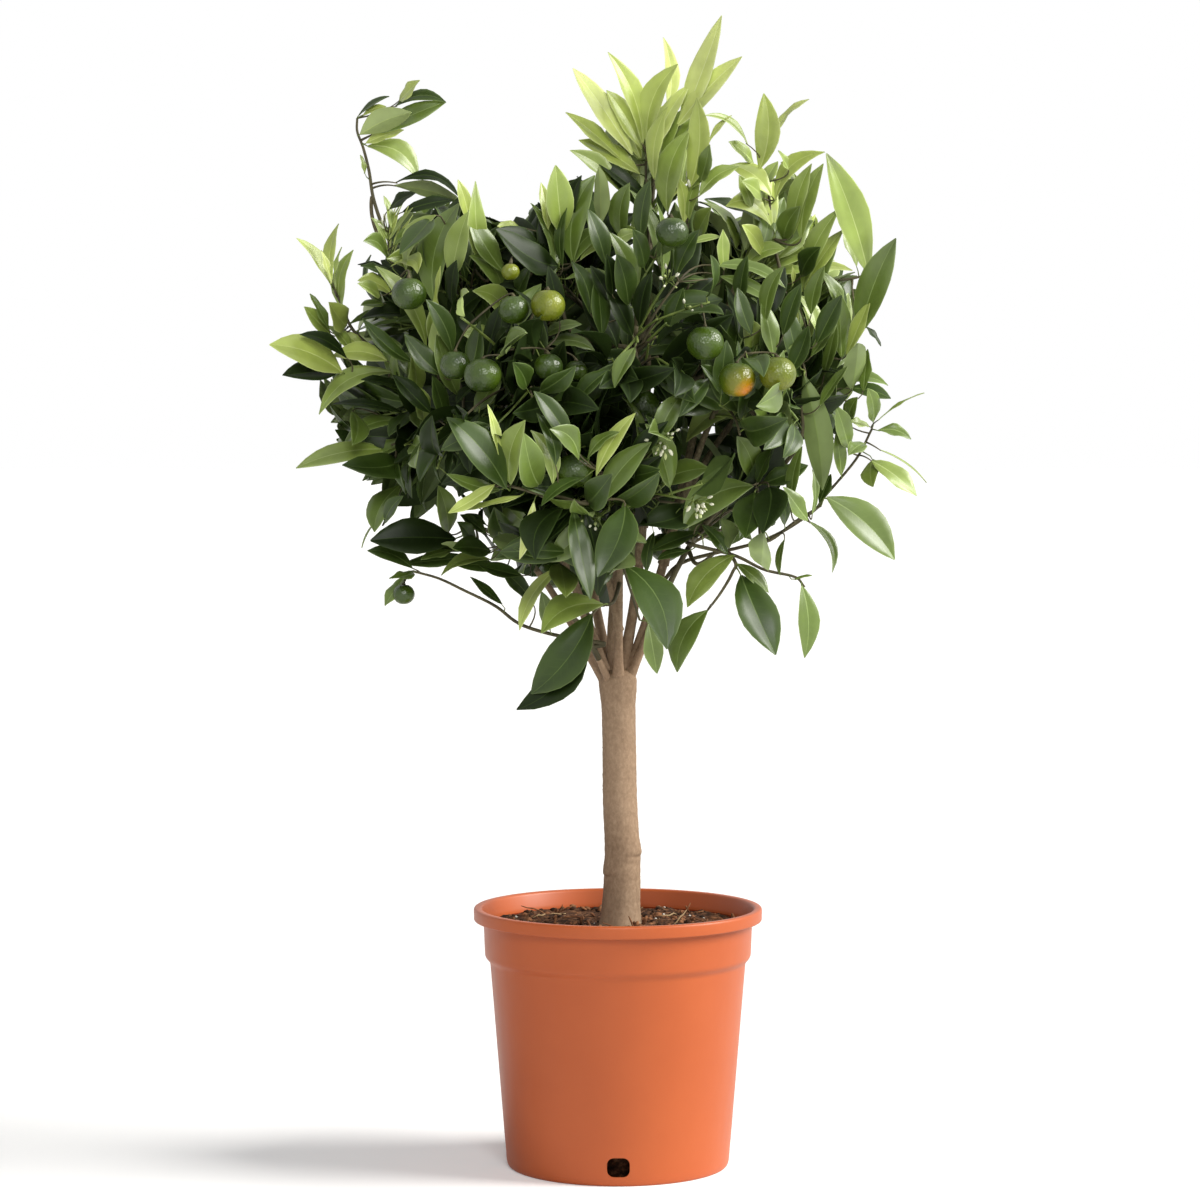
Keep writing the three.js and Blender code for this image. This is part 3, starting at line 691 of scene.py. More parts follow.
trunkSettings = {
    "foot": compostTop + 0.3,
    "top": 346,
    "waist": 11.6,
    "swell": 2.2,
    "swellHeight": 42,
    "flare": 1.6,
    "flareHeight": 6,
    "head": 1.6,
    "headHeight": 13,
    "dome": 9,  # how far below the top it starts to round off
    "knots": [(38, 205, 1.3), (52, 335, 1.3)],  # height above the compost, turn in degrees, size
    "sway": [1.7, 3.2, 1.4, 0.8, -0.4],
    "facets": 72,
    "rings": 230,
}
limbSettings = {
    "trunkRadius": 4.4,
    "boughRadius": 3.3,
    "tipRadius": 2.1,
    "collar": 1.5,  # how much wider a bough is where it leaves
    "collarReach": 11,
    "leastSlope": 0.24,
    "slope": 0.4,
    "lowSlope": 0.8,
    "lowFrom": 505,
    "lowDepth": 100,
    "facets": 18,
    "rings": 60,
}
crownHeart = np.array([0.0, 0.0, 550.0])

# name: middle, reach, what the bough leaves, and where along it
massPlan = {
    "upper_left": ((-134, -16, 611), (104, 104, 90), "trunk", 0),
    "sprig_left": ((-152, -4, 706), (44, 44, 52), "upper_left", 0.72),
    "lower_left": ((-138, -4, 523), (104, 106, 84), "upper_left", 0.3),
    "low_left": ((-112, -22, 435), (76, 76, 54), "trunk", 0),
    "top": ((28, 4, 703), (82, 92, 98), "trunk", 0),
    "top_left": ((-40, -14, 639), (76, 90, 70), "top", 0.5),
    "upper_right": ((108, 4, 655), (86, 100, 96), "trunk", 0),
    "right": ((134, 4, 553), (88, 106, 94), "upper_right", 0.42),
    "low_right": ((112, -20, 459), (98, 94, 98), "trunk", 0),
    "front_low": ((4, -100, 463), (100, 94, 88), "trunk", 0),
    "front_left": ((-76, -98, 553), (96, 96, 98), "front_low", 0.45),
    "front_middle": ((14, -100, 585), (84, 96, 98), "top", 0.26),
    "front_right": ((100, -92, 557), (92, 96, 98), "upper_right", 0.3),
    "middle": ((-26, -2, 521), (74, 70, 84), "trunk", 0),
    "bottom": ((-42, -52, 373), (46, 52, 62), "trunk", 0),
    "back_left": ((-78, 92, 577), (106, 102, 108), "trunk", 0),
    "back_right": ((82, 94, 583), (106, 102, 108), "top", 0.34),
    "back_low": ((4, 97, 457), (112, 100, 86), "trunk", 0),
}
sprigName = "sprig_left"  # the thin limb whose leaves all stand in a spray
bows = {sprigName: np.array([-102.0, 0, 6])}  # how far a bough swings out on its way
massNames = list(massPlan)
middles = np.array([massPlan[n][0] for n in massNames], float)
reaches = np.array([massPlan[n][1] for n in massNames], float)
sizes = reaches.mean(axis=1)


def trunkMiddle(share):
    sway, foot, top = trunkSettings["sway"], trunkSettings["foot"], trunkSettings["top"]
    points = [np.array([x, 0.4 * i, blend(foot, top, i / (len(sway) - 1))]) for i, x in enumerate(sway)]
    return smoothAt(points, share)


def clearOfNeighbours(number, points):
    # how far points are inside the walls between a mass and its neighbours
    points = np.atleast_2d(points)
    power = ((points[:, None, :] - middles) ** 2).sum(-1) - 0.35 * sizes**2
    apart = np.linalg.norm(middles - middles[number], axis=1)
    apart[number] = 1
    walls = (power - power[:, number : number + 1]) / (2 * apart)
    walls[:, number] = np.inf
    return walls.min(axis=1)


def inSpace(number, points, margin=0.3):
    points = np.atleast_2d(points)
    offset = np.linalg.norm((points - middles[number]) / reaches[number], axis=1)
    return (offset <= 1) & (clearOfNeighbours(number, points) >= margin)


def boughRadius(mass, share):
    thin = 0.6 if mass["name"] == sprigName else 1
    return thin * blend(mass["baseRadius"], limbSettings["tipRadius"], math.sqrt(share))


def layPath(number, laid):
    s, name = limbSettings, massNames[number]
    _, _, parent, at = massPlan[name]
    middle, size = middles[number], sizes[number]
    outward = unit(middle - crownHeart)
    heart = middle - outward * size * 0.18
    if parent == "trunk":
        start = trunkMiddle(1)
        radial = heart - start
        radial[2] = 0
        spread = between(np.linalg.norm(radial) / 90, 0, 1)
        lowness = between((s["lowFrom"] - heart[2]) / s["lowDepth"], 0, 1)
        radial = unit(radial)
        start = start + radial * spread * 6 + up * (-8 - 7 * lowness)
        lean = max(s["leastSlope"], spread * (s["slope"] + s["lowSlope"] * lowness**2))
        leaving = unit(radial * lean + up)
        baseRadius = blend(s["trunkRadius"], s["boughRadius"], lowness)
    else:
        carrier = laid[parent]
        place = at * carrier["entry"]
        start = cubicAt(carrier["path"], place)
        leaving = unit(cubicAlong(carrier["path"], place) + unit(heart - start))
        baseRadius = min(s["boughRadius"], boughRadius(carrier, at) * 0.9)
    span = np.linalg.norm(heart - start)
    arriving = unit(unit(heart - crownHeart) + up * 0.7)
    late = heart - arriving * span * 0.3 + bows.get(name, 0)
    path = (start, start + leaving * span * 0.36, late, heart)
    # the CAD limb ends where it enters its mass
    steps = 200
    entry = steps
    while entry > 0 and inSpace(number, cubicAt(path, (entry - 1) / steps), 2.4)[0]:
        entry -= 1
    return {
        "number": number,
        "name": name,
        "path": path,
        "baseRadius": baseRadius,
        "outward": outward,
        "size": size,
        "entry": entry / steps,
    }


masses = {}
for number, massName in enumerate(massNames):
    masses[massName] = layPath(number, masses)

limbPlaces = [trunkMiddle(i / 60) for i in range(61)]
limbRadii = [trunkSettings["waist"] + trunkSettings["head"]] * 61
for mass in masses.values():
    for i in range(81):
        limbPlaces.append(cubicAt(mass["path"], i / 80))
        limbRadii.append(boughRadius(mass, min(i / 80 / mass["entry"], 1)))
limbPlaces, limbRadii = np.array(limbPlaces), np.array(limbRadii)


# trunk and boughs in one barked mesh

barkSettings = {
    "ridges": 0.08,  # the reliefs in millimetres
    "flecks": 0.1,
    "bumps": 0.6,
    "rings": 0.26,
    "groove": 0.7,  # under a knot, for its size
    "thinFrom": 350,
    "thinDepth": 20,
    "streakColors": [(0.3, (110, 88, 68)), (0.5, (142, 118, 94)), (0.72, (172, 148, 122))],
    "patchColors": [(0.35, (122, 98, 76)), (0.7, (160, 135, 110))],
    "patchShare": 0.55,
    "limbColors": [(0.3, (66, 60, 42)), (0.55, (98, 90, 66)), (0.75, (136, 124, 96))],
    "limbHeights": (0.35, 0.465),  # where trunk bark turns into limb bark, in metres
}


def trunkRadius(height, turn):
    t = trunkSettings
    domeFoot = t["top"] - t["foot"] - t["dome"]
    radius = (
        t["waist"]
        + t["swell"] * math.exp(-height / t["swellHeight"])
        + t["flare"] * math.exp(-height / t["flareHeight"])
        + t["head"] * math.exp(-(((height - domeFoot) / t["headHeight"]) ** 2))
    )
    for high, degrees, size in t["knots"]:
        away = 1 - math.cos(turn - math.radians(degrees))
        radius += size * math.exp(-(((height - high) / 6) ** 2)) * math.exp(-away * 2.2)
    if height > domeFoot:
        radius *= math.sqrt(between(1 - ((height - domeFoot) / (t["dome"] + 0.5)) ** 2, 0.02, 1))
    return radius


def trunkObject():
    t = trunkSettings
    corners = []
    for r in range(t["rings"] + 1):
        share = 1 - (1 - r / t["rings"]) ** 1.15
        middle = trunkMiddle(share)
        for k in range(t["facets"]):
            turn = fullTurn * k / t["facets"]
            reach = trunkRadius(share * (t["top"] - t["foot"]), turn)
            corners.append(middle + reach * np.array([math.cos(turn), math.sin(turn), 0]))
    corners += [trunkMiddle(0), trunkMiddle(1)]
    return newObject("trunkAndBoughs", corners, stackFaces(t["rings"] + 1, t["facets"], flip=True))


def boughObject(mass):
    s = limbSettings
    shares = np.linspace(0, mass["entry"], s["rings"] + 1)
    line = [cubicAt(mass["path"], share) for share in shares]
    reach = np.concatenate(([0], np.cumsum(np.linalg.norm(np.diff(line, axis=0), axis=1))))
    radii = [
        boughRadius(mass, share / mass["entry"]) * (1 + (s["collar"] - 1) * math.exp(-away / s["collarReach"]))
        for share, away in zip(shares, reach)
    ]
    pile = newPile()
    addTube(pile, line, radii, s["facets"])
    return pileObject("bough", pile)


def barkRelief(corners, normals):
    # long low ridges, fine flecks and small pale bumps, finer on the boughs
    b, t = barkSettings, trunkSettings
    moved = corners.copy()
    for i, ((x, y, z), normal) in enumerate(zip(corners, normals)):
        thick = between((b["thinFrom"] - z) / b["thinDepth"], 0.35, 1)
        ridges = b["ridges"] * noise.noise(Vector((x * 0.32, y * 0.32, z * 0.05)))
        flecks = b["flecks"] * noise.noise(Vector((x * 0.9, y * 0.9, z * 0.28)))
        bumps = b["bumps"] * max(0, noise.noise(Vector((x * 0.42, y * 0.42, z * 0.75 + 40))) - 0.38)
        rings = b["rings"] * noise.noise(Vector((x * 0.08, y * 0.08, z * 0.22 + 9)))
        groove = 0
        if z < t["foot"] + 80:
            turn = math.atan2(y, x - t["sway"][1] * 0.8)
            for high, degrees, size in t["knots"]:
                away = 1 - math.cos(turn - math.radians(degrees))
                below = (z - t["foot"] - high + 4 - 3 * away) / 1.3
                groove += size * b["groove"] * math.exp(-below * below) * math.exp(-away * 5)
        moved[i] += normal * thick * (ridges + flecks + bumps + rings - groove)
    return moved


def barkMaterial():
    b = barkSettings
    material, shader, tree = newMaterial("bark", 0.78, specular=0.25)
    streaks = noiseNode(tree, placeNode(tree, (1, 1, 0.7)), 420, 6, 0.66)
    patches = noiseNode(tree, placeNode(tree, (1, 1, 0.5)), 38, 4, 0.55)
    fine, limbs = rampNode(tree, streaks, b["streakColors"]), rampNode(tree, streaks, b["limbColors"])
    mixed = mixNode(tree, b["patchShare"], fine, rampNode(tree, patches, b["patchColors"]))
    height = addNode(tree, "SeparateXYZ", {"Vector": placeNode(tree)}).outputs["Z"]
    higher = rangeNode(tree, height, *b["limbHeights"])
    setInputs(tree, shader, {"Base Color": mixNode(tree, higher, mixed, limbs)})
    bumpNode(tree, streaks, shader, 0.16, 0.6)
    return material


def cornerValues(mesh, name):
    values = np.empty(len(mesh.vertices) * 3)
    mesh.vertices.foreach_get(name, values)
    return values.reshape(-1, 3)


def makeTrunk():
    trunk = trunkObject()
    for mass in masses.values():
        joinOrCut(trunk, boughObject(mass), "UNION")
    mesh = trunk.data
    moved = barkRelief(cornerValues(mesh, "co") / mm, cornerValues(mesh, "normal"))
    mesh.vertices.foreach_set("co", (moved * mm).ravel())
    smoothAll(mesh)
    mesh.materials.clear()
    mesh.materials.append(barkMaterial())
    mesh.update()
    dressPiece(trunk, ["trunk"] + ["bough_" + name for name in massNames])


makeTrunk()
print("the trunk and boughs are made")


# fruit: the ones in view first, because the leaves keep off them

fruitSettings = {
    "radius": 12,
    "flat": 0.94,
    "rings": 14,
    "facets": 22,
    "hiddenShare": 0.06,
    "mostHidden": 12,
    "green": [(0.3, (32, 50, 6)), (0.7, (62, 82, 16))],
    "light": [(0.3, (80, 94, 12)), (0.7, (118, 124, 26))],
    "turning": [(0.16, (218, 132, 16)), (0.34, (176, 128, 12)), (0.5, (112, 112, 12)), (0.85, (64, 82, 10))],
}
# across, height, size against the usual one, finish, and how deep it hangs among the leaves
frontFruit = [
    (82, 545, 1.02, "turning", 26),
    (110, 549, 1.02, "light", 30),
    (60, 570, 1.02, "green", 36),
    (-48, 596, 0.94, "light", 30),
    (-72, 593, 0.84, "green", 36),
    (-93, 548, 1.02, "green", 30),
    (-112, 555, 0.84, "green", 44),
    (-48, 554, 0.78, "green", 36),
    (37, 646, 0.9, "green", 36),
    (17, 527, 0.94, "green", 70),
    (-30, 482, 1.02, "green", 30),
    (-144, 604, 0.96, "green", 36),
    (-29, 551, 0.62, "green", 56),
    (-74, 619, 0.5, "light", 50),
    (-148, 397, 0.62, "green", 30),
]


def fromFront(points):
    # where points line up with the plane through the trunk, seen from the camera
    eye = np.array(view["eye"])
    share = (points[:, 1] - eye[1]) / -eye[1]
    return eye[[0, 2]] + (points[:, [0, 2]] - eye[[0, 2]]) / share[:, None]


def seenAt(x, z, depth):
    # the place at that depth which lines up with x and z in the plane through the trunk
    eye = np.array(view["eye"])
    share = (depth - eye[1]) / -eye[1]
    return np.array([eye[0] + (x - eye[0]) * share, depth, eye[2] + (z - eye[2]) * share])


def limbGap(place):
    return (np.linalg.norm(limbPlaces - place, axis=1) - limbRadii).min()


def hangFruit():
    hung = []
    for x, z, size, finish, deep in frontFruit:
        radius = fruitSettings["radius"] * size
        depth = -200
        while depth < -60 and not any(inSpace(n, seenAt(x, z, depth), 0)[0] for n in range(len(massNames))):
            depth += 4
        depth += deep + radius
        while limbGap(seenAt(x, z, depth)) < radius + 1.2:
            depth -= 4
        middle = seenAt(x, z, depth)
        while any(np.linalg.norm(f["middle"] - middle) < f["radius"] + radius + 0.4 for f in hung):
            depth += 3
            middle = seenAt(x, z, depth)
        hung.append({"middle": middle, "radius": radius, "open": np.array([0, -1.0, 0]), "finish": finish})
    return hung


fruits = hangFruit()
print(len(fruits), "fruit hang in view")


# twigs and leaves

growth = {
    "shootEvery": 4.5,  # mean reach of a mass for each of its shoots
    "leastShoot": 12,
    "stemTip": 1.5,
    "shootRadius": 1.25,
    "shootTip": 0.75,
    "sideRadius": 0.95,
    "sideFrom": 34,  # a shoot as long as this has side shoots
    "sidePlaces": (0.38, 0.66),
    "leafEvery": 7.8,  # along a shoot
    "tries": 7,
    "sprayRadius": (1.9, 0.8),
    "sprayShifts": (0, -6, 6, -12, 12, -18, 18, -24, 24, 0),
}
leafSettings = {
    "length": 59,
    "width": 0.38,
    "youngLength": 66,
    "youngWidth": 0.29,
    "opening": (70, 30),  # degrees from the shoot at its foot and at its tip
    "openingDrift": 22,
    "stalk": (5, 9),
    "stalkRadius": 0.62,
    "longStalk": 14,  # from here on a stalk is a twig
    "thickness": 0.42,
    "stations": 9,
    "bow": 0.08,
    "rib": 0.5,
    # the width of the pale edge strip: a painted highlight along the leaf's margin
    "edge": 0.55,
    "fullness": 0.82,
    "sharp": 60,
    "mostInPiece": 900,  # leaves
}
leafStations = np.linspace(0, 1, leafSettings["stations"])
leafOutline = np.clip(np.sin(math.pi * leafStations), 0, 1) ** leafSettings["fullness"]
leafOutline[0], leafOutline[-1] = 0.06, 0.04

leaves = []  # every leaf that has found its place
mostLeaves = 6000
blades = {key: np.zeros((mostLeaves, 3)) for key in ("base", "axis", "across", "face")}
bladeSizes = np.zeros((mostLeaves, 2))
wood = {"twigs": newPile(), "shoots": newPile()}
woodPoints = []  # places along the twigs, for what is carried on them
sprayBlades = []  # the outlines of the sprays' leaves from the front
carriers = np.array([cubicAt(mass["path"], i / 60) for mass in masses.values() for i in range(61)])


def shapeOf(leaf):
    return leaf["base"], leaf["axis"], leaf["face"], leaf["length"], leaf["width"]


def bladeFlat(base, axis, face, length, width):
    # the points of a leaf that are tested against what is round it
    across = np.cross(face, axis)
    spots = [(0.3, 0), (0.55, 0), (0.8, 0), (1, 0), (0.45, 1), (0.45, -1), (0.75, 0.7), (0.75, -0.7)]
    points = []
    for forward, sideways in spots:
        lift = leafSettings["bow"] * length * (math.sin(math.pi * forward) - forward**2)
        points.append(base + axis * forward * length + across * sideways * width / 2 + face * lift)
    return np.array(points)


def segmentsCross(start, end, base, axis, across, face, size):
    # whether segments pass through blades, every argument row by row
    h0 = np.einsum("ij,ij->i", start - base, face)
    h1 = np.einsum("ij,ij->i", end - base, face)
    apart = h0 - h1
    share = h0 / np.where(np.abs(apart) < 1e-6, 1e-6, apart)
    point = start + (end - start) * share[:, None]
    u = np.einsum("ij,ij->i", point - base, axis) / size[:, 0]
    v = np.einsum("ij,ij->i", point - base, across) / (size[:, 1] / 2)
    inside = (u > 0.06) & (u < 0.98) & (np.abs(v) < np.interp(u, leafStations, leafOutline))
    return (h0 * h1 < 0) & inside


def crossesLeaves(base, axis, face, length, width):
    count = len(leaves)
    across = np.cross(face, axis)
    centre = base + axis * length / 2
    others = blades["base"][:count] + blades["axis"][:count] * bladeSizes[:count, :1] / 2
    near = np.nonzero(np.linalg.norm(others - centre, axis=1) < (length + bladeSizes[:count, 0]) / 2)[0]
    if len(near) == 0:
        return False
    b, a, c, f = (blades[key][near] for key in ("base", "axis", "across", "face"))
    s = bladeSizes[near]
    ones = np.ones((len(near), 1))
    mine = [base * ones, axis * ones, across * ones, face * ones, np.array([[length, width]]) * ones]
    mid, half = base + axis * length * 0.45, across * width / 2
    for start, end in ((base + axis * 3, base + axis * length), (mid - half, mid + half)):
        if segmentsCross(start * ones, end * ones, b, a, c, f, s).any():
            return True
    mid, half = b + a * s[:, :1] * 0.45, c * s[:, 1:] / 2
    for start, end in ((b + a * 3, b + a * s[:, :1]), (mid - half, mid + half)):
        if segmentsCross(start, end, *mine).any():
            return True
    return False


def hitsFruit(points):
    return any((np.linalg.norm(points - f["middle"], axis=1) < f["radius"] + 1.5).any() for f in fruits)


def hidesFruit(points):
    for fruit in fruits:
        offset = points - fruit["middle"]
        forward = offset @ fruit["open"]
        aside = np.linalg.norm(offset - forward[:, None] * fruit["open"], axis=1)
        if ((forward > -fruit["radius"]) & (aside < fruit["radius"] * 0.55)).any():
            return True
    return hitsFruit(points)


def touchesLimb(points, clearance=1.2):
    away = np.linalg.norm(limbPlaces[:, None, :] - points, axis=2) - limbRadii[:, None]
    return (away < clearance).any()


# how far the dense foliage reaches in the front view: across and height; only the sprays stand out of it
crownOutline = [
    (-169, 626), (-161, 651), (-144, 666), (-129, 675), (-103, 671), (-84, 651), (-63, 657), (-48, 673),
    (-27, 685), (-10, 693), (-8, 717), (5, 732), (22, 736), (49, 732), (65, 714), (64, 662), (74, 650),
    (88, 658), (92, 685), (109, 695), (124, 689), (133, 662), (139, 632), (168, 620), (175, 597),
    (170, 566), (159, 539), (153, 501), (122, 490), (110, 469), (110, 446), (92, 427), (71, 434), (49, 438),
    (18, 444), (11, 418), (-10, 388), (-33, 388), (-54, 396), (-70, 410), (-89, 417), (-102, 428),
    (-122, 446), (-146, 442), (-164, 460), (-184, 480), (-192, 492), (-200, 510), (-203, 527), (-203, 554),
    (-194, 568), (-187, 582), (-169, 596), (-176, 609),
]
outlineX, outlineZ = np.array(crownOutline).T
nextX, nextZ = np.roll(outlineX, -1), np.roll(outlineZ, -1)
outlineRise = np.where(nextZ == outlineZ, 1, nextZ - outlineZ)


def leavesOutline(points):
    flat = fromFront(points)
    x, z = flat[:, :1], flat[:, 1:]
    level = (outlineZ > z) != (nextZ > z)
    crossings = level & (x < (nextX - outlineX) * (z - outlineZ) / outlineRise + outlineX)
    return (crossings.sum(axis=1) % 2 == 0).any()


def keepLeaf(leaf):
    n = len(leaves)
    blades["base"][n], blades["axis"][n], blades["face"][n] = leaf["base"], leaf["axis"], leaf["face"]
    blades["across"][n] = np.cross(leaf["face"], leaf["axis"])
    bladeSizes[n] = leaf["length"], leaf["width"]
    leaves.append(leaf)


def leafPose(mass, place, along, share, keys, attempt, young):
    s = leafSettings
    outward = unit(place - crownHeart)
    roll = goldenAngle * keys[2] + fullTurn * chance(keys[0], keys[1], 5) + 1.1 * attempt
    radial = turned(anySideOf(along), along, roll)
    opening = math.radians(blend(*s["opening"], share) + s["openingDrift"] * (chance(*keys, 6) - 0.5) + 7 * attempt)
    lift = between((place[2] - 485) / 130, -0.7, 1.05) + 0.6 * (chance(*keys, 7) - 0.5)
    axis = unit(along * math.cos(opening) + radial * math.sin(opening) + up * lift * 0.75 + outward * 0.22)
    face = squareTo(along + up * 0.55 + outward * 0.45, axis)
    face = turned(face, axis, 1.1 * (chance(*keys, 8) - 0.5))
    usual, broad = (s["youngLength"], s["youngWidth"]) if young else (s["length"], s["width"])
    length = usual * blend(0.68, 1.16, chance(*keys, 9)) * blend(1.06, 0.84, share) * (1 - 0.03 * attempt)
    length *= between(mass["size"] / 66, 0.7, 1.05)
    width = length * broad * blend(0.86, 1.16, chance(*keys, 10))
    base = place + unit(axis + radial * 0.6) * blend(*s["stalk"], chance(*keys, 11))
    return {"base": base, "axis": axis, "face": face, "length": length, "width": width, "root": place}


def leafThatFits(mass, place, along, share, keys, young):
    number = mass["number"]
    for attempt in range(growth["tries"]):
        leaf = leafPose(mass, place, along, share, keys, attempt, young)
        points = bladeFlat(*shapeOf(leaf))
        offset = np.linalg.norm((points - middles[number]) / reaches[number], axis=1)
        if (offset > 1.02).any() or clearOfNeighbours(number, points).min() < -14:
            continue
        if leavesOutline(points) or hidesSpray(points) or touchesLimb(points) or hidesFruit(points):
            continue
        if not crossesLeaves(*shapeOf(leaf)):
            return leaf
    return None


# The sprays that stand out, from the front. A leaf is its foot and its tip (across, height), its width, its tint,
# how far its top is turned to the front, and how far it bows to the left of its run for its length.
# each leaf's tint is set lighter or darker with the light and shade where it stands: painted light and shade on top of
# its own green
usualLeaf = (0, 0, 0, 0, 0, 0, 0.8, 0)  # a row that stops short goes on like this
sprayShape = {
    "widthShare": 0.95,
    "leastShow": 0.6,
    "drift": 14,  # how far a foot may stand before or behind the depth of its spray
    "lean": (-0.34, 0.1),
    "broad": 0.46,  # a leaf as broad as this for its length in view leans back
    "broadest": 0.44,
}
